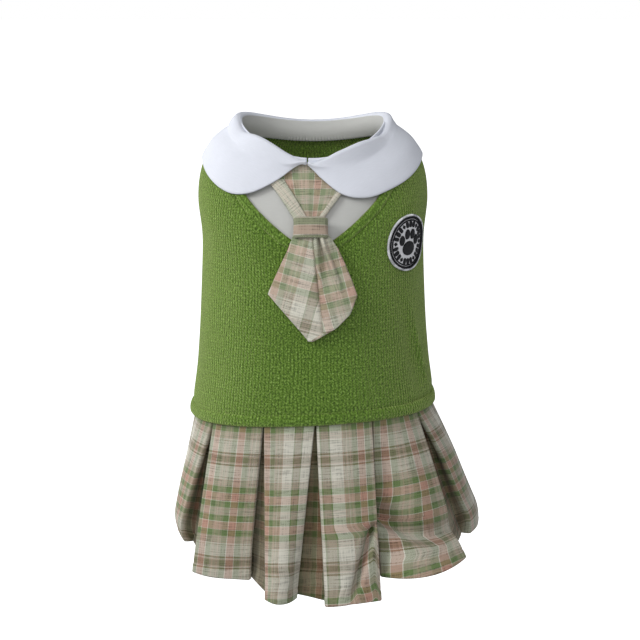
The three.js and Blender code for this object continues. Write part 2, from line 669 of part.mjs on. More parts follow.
function makeTieKnot() {
  const sides = 16;
  const middleOffset = OVER_BANDS + TIE_KNOT_DEPTH / 2;
  const pointAt = (down, across, out) => {
    const height = mix(KNOT_TOP, KNOT_BOTTOM, down);
    const angle = angleAcross(TIE_SHIFT + (TIE_KNOT_WIDTH / 2) * across, height, middleOffset);
    return garmentPoint(angle, levelAtHeight(angle, height), middleOffset + (TIE_KNOT_DEPTH / 2) * out);
  };
  const squared = (value) => Math.sign(value) * Math.abs(value) ** KNOT_SQUARENESS;
  const rings = KNOT_SECTIONS.map(({ down, size }) => Array.from({ length: sides }, (unused, k) => {
    const turn = (k / sides) * FULL_TURN;
    return pointAt(down, size * squared(Math.cos(turn)), size * squared(Math.sin(turn)));
  }));
  return ringBody(rings, pointAt(0, 0, 0), pointAt(1, 0, 0));
}

// How far the middle of the tail's cloth stands off the knit, with a valley fold beside its middle
function tailOffset(row, across) {
  const share = (column) => smoothBetween(TAIL_ROWS, column, row);
  const sideways = Math.abs(across);
  const flat = mix(share('offMiddle'), share(across < 0 ? 'offLeft' : 'offRight'), sideways);
  const swell = TAIL_SWELL * sideways * (1 - sideways);
  const valley = TAIL_FOLD.depth * Math.exp(-(((across - TAIL_FOLD.across) / TAIL_FOLD.width) ** 2));
  return TIE_TAIL_WIDTH * Math.max(flat + swell - valley, 0);
}

function makeTieTail() {
  const columns = 10;
  const rowSteps = 10;
  const lastRow = TAIL_ROWS.length - 1;
  return sheetBody(columns, rowSteps, false, (i, j, side) => {
    const row = (j / rowSteps) * lastRow;
    const lower = Math.min(Math.floor(row), lastRow - 1);
    const straight = (column) => mix(TAIL_ROWS[lower][column], TAIL_ROWS[lower + 1][column], row - lower);
    const height = KNOT_BOTTOM - LAYER_GAP - TIE_TAIL_LENGTH * straight('down');
    const across = mix(straight('left'), straight('right'), i / columns) * TIE_TAIL_WIDTH;
    const clear = OVER_BANDS + TIE_TAIL_THICKNESS / 2 + tailOffset(row, (2 * i) / columns - 1);
    const angle = angleAcross(TIE_SHIFT + across, height, clear);
    const half = (side ? -0.5 : 0.5) * TIE_TAIL_THICKNESS;
    return garmentPoint(angle, levelAtHeight(angle, height), clear + half);
  });
}

// A point of the badge, by its place across and up from the badge's middle
function badgePoint(across, up, offset) {
  const step = 0.01;
  const pointAt = (angle) => facePoint(angle, levelAtHeight(angle, -BADGE_DROP)).setZ(-BADGE_DROP);
  const perAngle = pointAt(BADGE_ANGLE + step).distanceTo(pointAt(BADGE_ANGLE)) / step;
  const angle = BADGE_ANGLE + across / perAngle;
  return garmentPoint(angle, levelAtHeight(angle, up - BADGE_DROP), offset);
}

// A flat raised piece of the badge between two offsets, with a closed outline round a middle point
function makeBadgeDisc(outline, middle, rings, lowOffset, highOffset) {
  const ringAt = (share, offset) => outline.map(({ across, up }) => {
    return badgePoint(mix(middle.across, across, share), mix(middle.up, up, share), offset);
  });
  const shares = Array.from({ length: rings }, (unused, k) => (k + 1) / rings);
  const layers = [
    ...shares.map((share) => ringAt(share, lowOffset)),
    ...shares.toReversed().map((share) => ringAt(share, highOffset)),
  ];
  return ringBody(
    layers,
    badgePoint(middle.across, middle.up, lowOffset),
    badgePoint(middle.across, middle.up, highOffset),
  );
}

function ellipseOutline(sides, middle, wide, tall) {
  return Array.from({ length: sides }, (unused, k) => {
    const turn = (k / sides) * FULL_TURN;
    return { across: middle.across + wide * Math.cos(turn), up: middle.up + tall * Math.sin(turn) };
  });
}

const BADGE_CENTRE = { across: 0, up: 0 };

function makeBadgePatch() {
  const radius = BADGE_DIAMETER / 2 - BADGE_BORDER_WIDTH - LAYER_GAP;
  const outline = ellipseOutline(28, BADGE_CENTRE, radius, radius);
  return makeBadgeDisc(outline, BADGE_CENTRE, 3, BADGE_GAP, BADGE_GAP + BADGE_THICKNESS);
}

function makeBadgeBorder() {
  const steps = 28;
  return sheetBody(steps, 1, true, (i, j, side) => {
    const turn = (i / steps) * FULL_TURN;
    const radius = BADGE_DIAMETER / 2 - (j ? BADGE_BORDER_WIDTH : 0);
    const top = BADGE_GAP + BADGE_THICKNESS + BADGE_BORDER_PROUD;
    return badgePoint(radius * Math.cos(turn), radius * Math.sin(turn), side ? BADGE_GAP : top);
  });
}

function makePawPad(pad) {
  const radius = BADGE_DIAMETER / 2;
  const middle = { across: pad.across * radius, up: pad.up * radius };
  const outline = ellipseOutline(12, middle, pad.wide * radius, pad.tall * radius);
  const low = BADGE_GAP + BADGE_THICKNESS + LAYER_GAP;
  return makeBadgeDisc(outline, middle, 1, low, low + BADGE_RELIEF);
}

// Adds a piece to its group, with its own place taken out of the geometry and kept in the mesh
function addPiece(group, name, geometry, material) {
  geometry.computeBoundingBox();
  const place = geometry.boundingBox.getCenter(new THREE.Vector3()).round();
  geometry.translate(-place.x, -place.y, -place.z);
  const mesh = new THREE.Mesh(geometry, material);
  mesh.name = name;
  mesh.position.copy(place);
  group.add(mesh);
}

function makeVest() {
  const vest = new THREE.Group();
  addPiece(vest, 'bodice', makeBodice(), MATERIALS.knit);
  addPiece(vest, 'hem_band', makeHemBand(), MATERIALS.knit);
  addPiece(vest, 'v_neck_band', makeVNeckBand(), MATERIALS.knit);
  addPiece(vest, 'leg_band_left', makeLegBand(-1), MATERIALS.knit);
  addPiece(vest, 'leg_band_right', makeLegBand(1), MATERIALS.knit);
  return vest;
}

function makeShirt() {
  const shirt = new THREE.Group();
  addPiece(shirt, 'shirt_front', makeShirtFront(), MATERIALS.cotton);
  addPiece(shirt, 'neck_band', makeNeckBand(), MATERIALS.cotton);
  addPiece(shirt, 'collar', makeCollar(), MATERIALS.cotton);
  return shirt;
}

function makeTie() {
  const tie = new THREE.Group();
  addPiece(tie, 'tie_panel', makeTieStrip(TIE_PANEL, 8, PANEL_OFFSET), MATERIALS.plaid);
  addPiece(tie, 'tie_strap_left', makeTieStrip(TIE_STRAPS.left, 2, STRAP_OFFSET), MATERIALS.plaid);
  addPiece(tie, 'tie_strap_right', makeTieStrip(TIE_STRAPS.right, 2, STRAP_OFFSET), MATERIALS.plaid);
  addPiece(tie, 'tie_knot', makeTieKnot(), MATERIALS.plaid);
  addPiece(tie, 'tie_tail', makeTieTail(), MATERIALS.plaid);
  return tie;
}

function makeBadge() {
  const badge = new THREE.Group();
  addPiece(badge, 'badge_patch', makeBadgePatch(), MATERIALS.whiteThread);
  addPiece(badge, 'badge_border', makeBadgeBorder(), MATERIALS.blackThread);
  for (const pad of PAW_PADS) addPiece(badge, pad.name, makePawPad(pad), MATERIALS.blackThread);
  return badge;
}

const dress = new THREE.Group();
dress.add(makeVest(), makeShirt(), makeTie(), makeBadge());
addPiece(dress, 'skirt', makeSkirt(), MATERIALS.plaid);

export default dress;
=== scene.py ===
# The looks of a dog dress in its worn form: a knitted vest over a shirt front with a round collar, a
# pleated skirt, a short tie and a round badge. Metres, +Z up, and the decorated side faces -Y.
# A place on the garment is an angle from the middle of the front and a level down from the collar
# fold, and layers lie on it by an offset from the outer face of the knit.

import math

import bpy
import numpy as np
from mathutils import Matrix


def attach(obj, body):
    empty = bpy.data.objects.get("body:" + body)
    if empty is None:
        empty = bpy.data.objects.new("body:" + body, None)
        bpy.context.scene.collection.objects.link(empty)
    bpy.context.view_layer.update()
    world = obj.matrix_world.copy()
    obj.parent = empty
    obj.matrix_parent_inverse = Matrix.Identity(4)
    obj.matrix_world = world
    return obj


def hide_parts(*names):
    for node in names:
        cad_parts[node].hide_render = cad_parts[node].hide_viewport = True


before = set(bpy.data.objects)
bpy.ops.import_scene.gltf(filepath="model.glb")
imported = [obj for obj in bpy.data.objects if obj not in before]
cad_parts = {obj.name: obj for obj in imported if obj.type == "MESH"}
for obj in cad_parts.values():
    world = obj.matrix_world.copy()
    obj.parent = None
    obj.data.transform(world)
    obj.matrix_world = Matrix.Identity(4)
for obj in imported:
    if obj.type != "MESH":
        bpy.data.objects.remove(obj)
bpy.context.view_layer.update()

MM = 0.001
DEGREE = math.pi / 180
FULL_TURN = 2 * math.pi

# Sizes of the knitted vest, measured over its outer face
CHEST_WIDTH = 150 * MM
CHEST_DEPTH = 124 * MM
BACK_LENGTH = 176 * MM
HEM_LEAN = 4 * MM
HEM_LEAN_POWER = 3
KNIT_THICKNESS = 2.4 * MM
HEM_BAND_HEIGHT = 6.5 * MM
BAND_PROUD = 0.5 * MM
V_BAND_WIDTH = 6.2 * MM
V_NECK_DEPTH = 67.5 * MM
V_TOP_ANGLE = 60 * DEGREE
WALE = 2.1 * MM
COURSE = 1.7 * MM

# Leg holes, on the side that lies under the dog
LEG_HOLE_ANGLE = 122 * DEGREE
LEG_HOLE_WIDTH = 50 * MM
LEG_HOLE_HEIGHT = 58 * MM
LEG_HOLE_DROP = 79 * MM
LEG_BAND_WIDTH = 5 * MM
EDGE_OVERLAP = 0.2 * MM

# Shirt front, neck band and collar
SHIRT_THICKNESS = 1.2 * MM
SHIRT_UNDERLAP = 12 * MM
COLLAR_WIDTH = 41 * MM
COLLAR_THICKNESS = 1.8 * MM
COLLAR_OPENING_ANGLE = 1.2 * DEGREE
COLLAR_SHIFT_ANGLE = -4 * DEGREE
COLLAR_SHIFT_REACH = 45 * DEGREE

# Skirt
SKIRT_LENGTH = 110 * MM
SKIRT_CLOTH = 1 * MM
SKIRT_HEM_WIDTH = 214 * MM
SKIRT_HEM_DEPTH = 206 * MM
SKIRT_SWAY_SIDE = 10 * MM
SKIRT_SWAY_BACK = 8 * MM
SKIRT_TUCK_IN = 5 * MM
SKIRT_BOW_POWER = 1.5
SKIRT_HEM_FOLD = 6 * MM
PLEAT_LAYER_STEP = 2.2 * MM
PLEAT_TUCK_AT_WAIST = 10 * MM
PLEAT_TUCK_AT_HEM = 3 * MM
PLEAT_DEPTH_AT_HEM = 12 * MM
PLEAT_EDGE_ANGLE = 0.75 * DEGREE

# Cloth that the plaid counts round the skirt for each pleat, shown and folded away, and where its
# stripes start
PLEAT_PANEL_CLOTH = 38 * MM
PLEAT_HIDDEN_CLOTH = 53.7 * MM
SKIRT_SETT_START = -107.2 * MM
SKIRT_SETT_MIDDLE = -57.5 * MM

# Tie
TIE_KNOT_WIDTH = 21.4 * MM
TIE_KNOT_HEIGHT = 11.4 * MM
TIE_KNOT_DEPTH = 9.6 * MM
TIE_TAIL_WIDTH = 55.4 * MM
TIE_TAIL_LENGTH = 63.6 * MM
TIE_TAIL_THICKNESS = 2 * MM
TIE_CLOTH = 1.1 * MM
TIE_SHIFT = -1.2 * MM

# Badge
BADGE_DIAMETER = 36 * MM
BADGE_THICKNESS = 1.2 * MM
BADGE_BORDER_PROUD = 0.6 * MM
BADGE_RELIEF = 0.7 * MM
BADGE_ANGLE = 54.6 * DEGREE
BADGE_DROP = 62.9 * MM

# Clear space between layers, and layers as offsets from the outer face of the knit
LAYER_GAP = 0.3 * MM
SHIRT_GAP = 0.6 * MM
BADGE_GAP = 0.5 * MM
UNDER_KNIT = -KNIT_THICKNESS - SHIRT_GAP
OVER_BANDS = BAND_PROUD + LAYER_GAP


def table(names, *rows):
    """A table as one array for each named column."""
    return dict(zip(names.split(), np.array(rows, float).T))


# Sections of the outer face, from the collar fold down to the knitted hem. side is a share of half
# CHEST_WIDTH, front and back are shares of half CHEST_DEPTH, the heights are shares of BACK_LENGTH.
SECTIONS = table(
    "side front back front_z side_z back_z",
    (0.673, 0.726, 0.726, -0.048, 0.082, 0.05),
    (0.69, 0.71, 0.71, -0.091, 0.038, 0.006),
    (0.862, 0.806, 0.82, -0.17, -0.014, -0.05),
    (0.973, 0.903, 0.93, -0.261, -0.091, -0.142),
    (1.012, 0.984, 1, -0.352, -0.21, -0.239),
    (0.98, 1.032, 1.032, -0.483, -0.375, -0.381),
    (0.995, 1.048, 1.048, -0.653, -0.602, -0.58),
    (1.023, 1.073, 1.065, -0.824, -0.795, -0.744),
    (1.053, 1.089, 1.081, -0.92, -0.898, -0.847),
    (1.093, 1.113, 1.097, -1, -1, -0.943),
)
NECK_LEVEL = 1
HEM_LEVEL = len(SECTIONS["side"]) - 1
BAND_TOP_LEVEL = 0.35
BAND_BOTTOM_LEVEL = 1.3
SHIRT_TOP_LEVEL = 1.35
COLLAR_SEAM_LEVELS = 0.2

# Edge of the V neck. angle is in degrees, rise is a share of V_NECK_DEPTH above the point of the V.
V_EDGE = table("angle rise", (0, 0), (12, 0.15), (24, 0.32), (36, 0.5), (48, 0.72), (60, 1))

# Width of the collar as shares of COLLAR_WIDTH, by the angle in degrees
COLLAR_EDGE = table(
    "angle left right",
    (0, 0.04, 0.05),
    (8, 0.13, 0.28),
    (20, 0.48, 0.63),
    (32, 0.77, 0.79),
    (44, 0.92, 0.83),
    (60, 0.94, 0.855),
    (90, 0.84, 0.81),
    (135, 0.85, 0.85),
    (180, 0.88, 0.88),
)

# How the collar rolls over its fold, as shares of COLLAR_THICKNESS, and how it falls to its edge
COLLAR_ROLL = table("out rise", (-0.6, 0.6), (0.35, 0.3))
COLLAR_FALL = table("along lift", (0.3, 0.95), (0.55, 0.65), (0.8, 0.2), (1, 0))

# How far the collar's fold rises above an even line, by the angle in degrees, in metres
COLLAR_RISE = table(
    "angle rise",
    (-180, 0), (-90, 0), (-66, -2.6 * MM), (-46, 2.3 * MM), (-32, 2.6 * MM), (-16, -0.6 * MM), (-7, -3 * MM),
    (-1, -4.2 * MM), (6, -2.4 * MM), (19, 1 * MM), (36, 1.6 * MM), (54, -2 * MM), (66, -4.5 * MM),
    (80, -2.5 * MM), (90, 0), (180, 0),
)

# Where the collar meets the garment below its fold, as a share of the way to its edge, and how far
# it stands out from a straight fall to there, on the left and on the right
COLLAR_LANDING = 0.44
COLLAR_BOW = {"left": 0.7 * MM, "right": -0.2 * MM}

# Soft dents and swells of the collar. angle and wide are in degrees, along and tall are shares of the
# way to the edge, and lift is a share of COLLAR_THICKNESS.
COLLAR_DENTS = table(
    "angle along wide tall lift",
    (44, 0.45, 17, 0.22, -0.9),
    (26, 0.3, 14, 0.16, -0.35),
    (30, 0.85, 16, 0.2, 0.3),
    (-38, 0.6, 26, 0.3, 0.3),
    (100, 0.5, 22, 0.3, 0.4),
    (-105, 0.5, 24, 0.3, 0.4),
    (180, 0.5, 30, 0.3, 0.3),
)

# Soft folds of the vest. angle, wide and lean are in degrees, and lean is how far the fold drifts over
# its length. height, below the origin, and tall are shares of BACK_LENGTH, and out is in metres.
VEST_FOLDS = table(
    "angle height wide tall lean out",
    (67, 0.78, 2.4, 0.15, 15, 2.2 * MM),
    (58, 0.76, 6, 0.2, 15, -2.2 * MM),
    (76, 0.8, 5, 0.15, 10, -1 * MM),
    (74, 0.3, 10, 0.1, 0, -1.2 * MM),
    (-78, 0.33, 12, 0.1, 0, -1 * MM),
    (-64, 0.62, 9, 0.3, -8, 0.8 * MM),
    (-30, 0.86, 12, 0.14, 6, 0.6 * MM),
    (18, 0.9, 9, 0.12, 0, 0.6 * MM),
    (150, 0.75, 9, 0.25, 0, 1.2 * MM),
    (-150, 0.7, 10, 0.25, 0, -1.2 * MM),
    (180, 0.5, 12, 0.3, 0, 1 * MM),
    (100, 0.8, 8, 0.16, 0, 1.2 * MM),
    (-104, 0.82, 8, 0.16, 0, 1.2 * MM),
)

# Pleats in order round the waist, from the left silhouette over the front to the back. waist, left and
# right are in degrees, out is a share of the hem's radius, drop of SKIRT_LENGTH, and bow and curl are
# how far the panel's middle stands out and its hem draws in, as shares of its width and SKIRT_LENGTH.
PLEATS = table(
    "waist left right out_left out_right drop_left drop_right bow curl",
    (-88, -102, -80.8, 1.02, 0.975, 0.855, 0.855, 0.06, 0.06),
    (-56, -57.9, -36.6, 0.987, 0.823, 0.942, 0.964, 0.1, 0.01),
    (-23.8, -22.5, -12.1, 0.977, 0.914, 1.012, 1, 0.5, 0.02),
    (1.3, -0.8, 18.6, 1, 0.983, 1.01, 0.995, 0.08, 0),
    (29.3, 23, 54.1, 0.75, 0.993, 0.885, 0.805, 0.3, 0),
    (59.9, 85.3, 105.9, 0.957, 1.064, 0.832, 0.836, 0.06, 0.05),
    (92, 112, 130, 1.03, 0.98, 0.84, 0.85, 0.08, 0.02),
    (122, 137, 155, 0.99, 1, 0.85, 0.86, 0.1, 0.02),
    (152, 161, 179, 1, 0.98, 0.86, 0.86, 0.08, 0.01),
    (182, 185, 203, 0.98, 1, 0.86, 0.86, 0.1, 0.02),
    (212, 209, 227, 1, 0.98, 0.86, 0.85, 0.08, 0.02),
    (242, 233, 251, 0.99, 1.02, 0.85, 0.85, 0.08, 0.02),
)
PLEAT_COUNT = len(PLEATS["waist"])

# Soft swells and dents of the pleats. pleat counts from 0, across and down are shares of the panel,
# as wide and tall are, and out is in metres.
PLEAT_DENTS = table(
    "pleat across down wide tall out",
    (0, 0.5, 0.55, 0.5, 0.3, 1.5 * MM),
    (1, 0.3, 0.5, 0.35, 0.35, 1 * MM),
    (1, 0.85, 0.95, 0.3, 0.12, -1.6 * MM),
    (2, 0.2, 0.9, 0.25, 0.14, 2.2 * MM),
    (2, 0.95, 0.87, 0.2, 0.05, -4.5 * MM),
    (2, 0.55, 0.35, 0.4, 0.25, -1 * MM),
    (3, 0.3, 0.8, 0.3, 0.3, 1.6 * MM),
    (3, 0.12, 0.3, 0.16, 0.25, -0.8 * MM),
    (4, 0.55, 0.5, 0.45, 0.3, 3.2 * MM),
    (4, 0.1, 0.3, 0.2, 0.25, -1 * MM),
    (5, 0.4, 0.35, 0.5, 0.25, 3 * MM),
    (6, 0.5, 0.6, 0.4, 0.3, 2 * MM),
    (8, 0.4, 0.7, 0.4, 0.3, 2 * MM),
    (9, 0.6, 0.9, 0.35, 0.12, -2 * MM),
    (10, 0.5, 0.5, 0.4, 0.3, 2 * MM),
    (11, 0.5, 0.75, 0.4, 0.25, 2 * MM),
)

# The crease across the lower part of one pleat, under which its hem flips out, and the corner of its
# neighbour that folds back. Places are shares across and down a panel.
CREASE = {"pleat": 4, "left": 0.66, "right": 0.88, "sag": 0.05, "valley": 10 * MM, "flip": 14 * MM}
CORNER = {"pleat": 3, "edge_down": 0.56, "hem_across": 0.46, "valley": 9 * MM}

# Strips of the gathered upper part of the tie. top and bottom are shares of TIE_KNOT_HEIGHT above the
# knot's top, the rest are shares of TIE_KNOT_WIDTH across.
TIE_PANEL = {
    "top": 2.95, "top_left": -1.4, "top_right": 1.28,
    "bottom": -0.3, "bottom_left": -0.33, "bottom_right": 0.24,
}
TIE_STRAPS = {
    "left": {
        "top": 2.2, "top_left": -1.2, "top_right": -0.78,
        "bottom": -0.3, "bottom_left": -0.35, "bottom_right": 0.02,
    },
    "right": {
        "top": 2.1, "top_left": 0.98, "top_right": 1.16,
        "bottom": -0.3, "bottom_left": 0.08, "bottom_right": 0.2,
    },
}

# Sections of the knot. down is a share of its height, size is a share of its width and depth.
KNOT_SECTIONS = table(
    "down size",
    (0, 0.84), (0.03, 0.95), (0.08, 1), (0.2, 0.985), (0.45, 0.975), (0.7, 0.985),
    (0.84, 1), (0.93, 1.02), (0.98, 0.96), (1, 0.86),
)
KNOT_SQUARENESS = 0.6

# Outline of the hanging end of the tie. down is a share of its length, left and right are shares of
# its width, and the last three say how far its left edge, middle and right edge stand off.
TAIL_ROWS = table(
    "down left right off_left off_middle off_right",
    (0, -0.19, 0.2, 0.04, 0.09, 0.04),
    (0.13, -0.25, 0.31, 0.02, 0.07, 0.06),
    (0.27, -0.33, 0.39, 0.01, 0.05, 0.09),
    (0.44, -0.42, 0.475, 0.01, 0.04, 0.12),
    (0.56, -0.48, 0.525, 0.02, 0.04, 0.14),
    (0.74, -0.29, 0.446, 0.03, 0.04, 0.12),
    (0.875, -0.148, 0.29, 0.03, 0.04, 0.08),
    (1, -0.02, 0.02, 0.04, 0.04, 0.04),
)
TAIL_SWELL = 0.05

# Folds that run down the tail from the knot. The places across are shares of TIE_TAIL_WIDTH at the
# top and at the end of the fold, down_end is a share of the length, wide is in metres at both ends,
# and lift is in metres, below 0 for a valley.
TAIL_FOLDS = table(
    "top_across end_across down_end wide_top wide_end lift",
    (0.02, 0.13, 0.8, 0.7 * MM, 1.3 * MM, -3.4 * MM),
    (0.05, 0.11, 0.5, 0.9 * MM, 1.2 * MM, 1.6 * MM),
    (0.085, 0.19, 0.4, 1 * MM, 4 * MM, -5 * MM),
    (0.11, 0.31, 0.42, 0.7 * MM, 0.9 * MM, 3.6 * MM),
    (0.14, 0.35, 0.42, 0.4 * MM, 0.5 * MM, -1.8 * MM),
    (-0.06, -0.2, 0.7, 2 * MM, 5 * MM, 0.7 * MM),
)

# Pads of the paw print on the badge, as shares of the badge's radius
PAW_PADS = {
    "badge_paw_palm": {"across": 0, "up": -0.19, "wide": 0.32, "tall": 0.26},
    "badge_paw_toe_1": {"across": -0.38, "up": 0.1, "wide": 0.12, "tall": 0.18},
    "badge_paw_toe_2": {"across": -0.14, "up": 0.31, "wide": 0.12, "tall": 0.18},
    "badge_paw_toe_3": {"across": 0.14, "up": 0.31, "wide": 0.12, "tall": 0.18},
    "badge_paw_toe_4": {"across": 0.38, "up": 0.1, "wide": 0.12, "tall": 0.18},
}


def smooth(values, position):
    """Values between a column's rows, on a smooth curve through them."""
    last = len(values) - 1
    before = 2 * values[0] - values[1]
    after = 2 * values[last] - values[last - 1]
    padded = np.concatenate([[before], values, [after]])
    index = np.clip(np.floor(position), 0, last - 1).astype(int)
    f = position - index
    a, b, c, d = (padded[index + k] for k in range(4))
    curved = (2 * a - 5 * b + 4 * c - d) * f**2 + (3 * b - a - 3 * c + d) * f**3
    return (2 * b + (c - a) * f + curved) / 2


def position_of(keys, key):
    """The place of a key in a rising column, as a row number with a fraction."""
    return np.interp(key, keys, np.arange(len(keys)))


def mix(start, end, share):
    return start + (end - start) * share


def unit(vectors):
    return vectors / np.maximum(np.linalg.norm(vectors, axis=-1, keepdims=True), 1e-12)


def bell(distance):
    return np.exp(-(distance**2))


def full_turn(count, start=0):
    """Angles once round, without the one that comes back to the start."""
    return np.linspace(start, start + FULL_TURN, count + 1)[:-1]


def wrapped(grid):
    """A grid with its first column repeated after its last."""
    return np.concatenate([grid, grid[:, :1]], axis=1)


def run_along(points):
    """Lengths along lines of points, whose first axis goes along."""
    return np.cumsum(np.linalg.norm(np.diff(points, axis=0, prepend=points[:1]), axis=-1), axis=0)


def face_point(angle, level):
    """Points of the outer face of the garment, before any offset."""
    angle, level = np.broadcast_arrays(np.asarray(angle, float), np.asarray(level, float))
    share = {name: smooth(values, level) for name, values in SECTIONS.items()}
    half_depth = CHEST_DEPTH / 4 * (share["front"] + share["back"])
    shift = CHEST_DEPTH / 4 * (share["back"] - share["front"])
    wave = (share["front_z"] + share["back_z"] - 2 * share["side_z"]) / 4
    tilt = (share["front_z"] - share["back_z"]) / 2
    height = share["side_z"] + wave + tilt * np.cos(angle) + wave * np.cos(2 * angle)
    lean = HEM_LEAN * np.maximum(0, level / HEM_LEVEL) ** HEM_LEAN_POWER * np.sin(angle)
    x = CHEST_WIDTH / 2 * share["side"] * np.sin(angle)
    y = shift - half_depth * np.cos(angle)
    return np.stack([x, y, BACK_LENGTH * height + lean], axis=-1)


def garment_point(angle, level, offset=0.0):
    """Points that stand off the outer face of the knit by an offset."""
    step = 0.002
    across = face_point(angle + step, level) - face_point(angle - step, level)
    down = face_point(angle, level + step) - face_point(angle, level - step)
    normal = unit(np.cross(down, across))
    return face_point(angle, level) + normal * np.asarray(offset, float)[..., None]


def level_at_height(angle, height):
    angle, height = np.broadcast_arrays(np.asarray(angle, float), np.asarray(height, float))
    high = np.zeros(angle.shape)
    low = np.full(angle.shape, HEM_LEVEL + 1.0)
    halvings = 30
    for _ in range(halvings):
        middle = (high + low) / 2
        above = face_point(angle, middle)[..., 2] > height
        high = np.where(above, middle, high)
        low = np.where(above, low, middle)
    return (high + low) / 2


def level_at_length(angle, length):
    """Levels that lie a length below the collar fold, measured along the face."""
    levels = np.linspace(0, HEM_LEVEL, 450)
    found = []
    for one_angle, one_length in zip(angle, length):
        steps = np.linalg.norm(np.diff(face_point(one_angle, levels), axis=0), axis=1)
        found.append(np.interp(one_length, np.concatenate([[0], np.cumsum(steps)]), levels))
    return np.array(found)


def angle_across(distance, height, offset):
    """Angles that lie a distance across from the middle of the front, at a height and an offset."""
    half_width = CHEST_WIDTH / 2 * smooth(SECTIONS["side"], level_at_height(0, height))
    return np.arcsin(distance / (half_width + offset))


def v_edge_height(angle):
    rise = smooth(V_EDGE["rise"], position_of(V_EDGE["angle"], np.abs(angle) / DEGREE))
    return V_NECK_DEPTH * (rise - 1)


def grid_normals(points, closed):
    """Outward normals of a grid of points, with rows going down and columns going across."""
    if closed:
        across = np.roll(points, -1, axis=1) - np.roll(points, 1, axis=1)
    else:
        across = np.gradient(points, axis=1)
    return unit(np.cross(np.gradient(points, axis=0), across))


def grown(points, reach, axis):
    """The grid with one more line of points before and after it, a reach further out."""
    points = np.moveaxis(points, axis, 0)
    reach = np.moveaxis(reach, axis, 0)
    before = points[0] + unit(points[0] - points[1]) * reach[0]
    after = points[-1] + unit(points[-1] - points[-2]) * reach[-1]
    return np.moveaxis(np.concatenate([before[None], points, after[None]]), 0, axis)


def squares(index):
    """Corner numbers of the squares of a grid of point numbers."""
    corners = [index[:-1, :-1], index[:-1, 1:], index[1:, 1:], index[1:, :-1]]
    return np.stack(corners, axis=-1).reshape(-1, 4)


def cloth_shell(points, uv, thickness, closed):
    """Points, faces and UVs of a closed thin body round a grid of middle points, with round edges.
    A closed grid goes all the way round, and its UVs have one column more than its points."""
    thickness = np.broadcast_to(thickness, points.shape[:2])[..., None].astype(float)
    half = grid_normals(points, closed) * thickness / 2
    rim = grown(points, thickness / 2, 0)
    rim_uv = np.pad(uv, ((1, 1), (0, 0), (0, 0)), mode="edge")
    if not closed:
        rim = grown(rim, np.pad(thickness, ((1, 1), (0, 0), (0, 0)), mode="edge") / 2, 1)
        rim_uv = np.pad(rim_uv, ((0, 0), (1, 1), (0, 0)), mode="edge")
    count = rim.shape[0] * rim.shape[1]
    outer_index = np.arange(count).reshape(rim.shape[:2])
    inner_index = outer_index.copy()
    inside = (slice(1, -1), slice(None) if closed else slice(1, -1))
    inner_index[inside] = count + np.arange(half.shape[0] * half.shape[1]).reshape(half.shape[:2])
    rim[inside] = points + half
    all_points = np.concatenate([rim.reshape(-1, 3), (points - half).reshape(-1, 3)])
    if closed:
        outer_index = wrapped(outer_index)
        inner_index = wrapped(inner_index)
    uv_index = np.arange(rim_uv.shape[0] * rim_uv.shape[1]).reshape(rim_uv.shape[:2])
    faces = np.concatenate([squares(outer_index)[:, ::-1], squares(inner_index)])
    uv_faces = np.concatenate([squares(uv_index)[:, ::-1], squares(uv_index)])
    return all_points, faces, rim_uv.reshape(-1, 2)[uv_faces]


def piece_from_shells(name, shells, material, nodes):
    """A piece of the dress made of shells, in the place of some nodes."""
    starts = np.cumsum([0] + [len(points) for points, _, _ in shells])
    points = np.concatenate([points for points, _, _ in shells])
    faces = np.concatenate([faces + start for (_, faces, _), start in zip(shells, starts)])
    uvs = np.concatenate([uv for _, _, uv in shells])
    mesh = bpy.data.meshes.new(name)
    mesh.from_pydata(points.tolist(), [], faces.tolist())
    mesh.uv_layers.new(name="cloth").data.foreach_set("uv", uvs.astype(np.float32).ravel())
    mesh.polygons.foreach_set("use_smooth", np.ones(len(faces), bool))
    mesh.validate()
    mesh.materials.append(material)
    piece = bpy.data.objects.new(name, mesh)
    bpy.context.scene.collection.objects.link(piece)
    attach(piece, "root")
    if nodes:
        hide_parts(*nodes)
    return piece


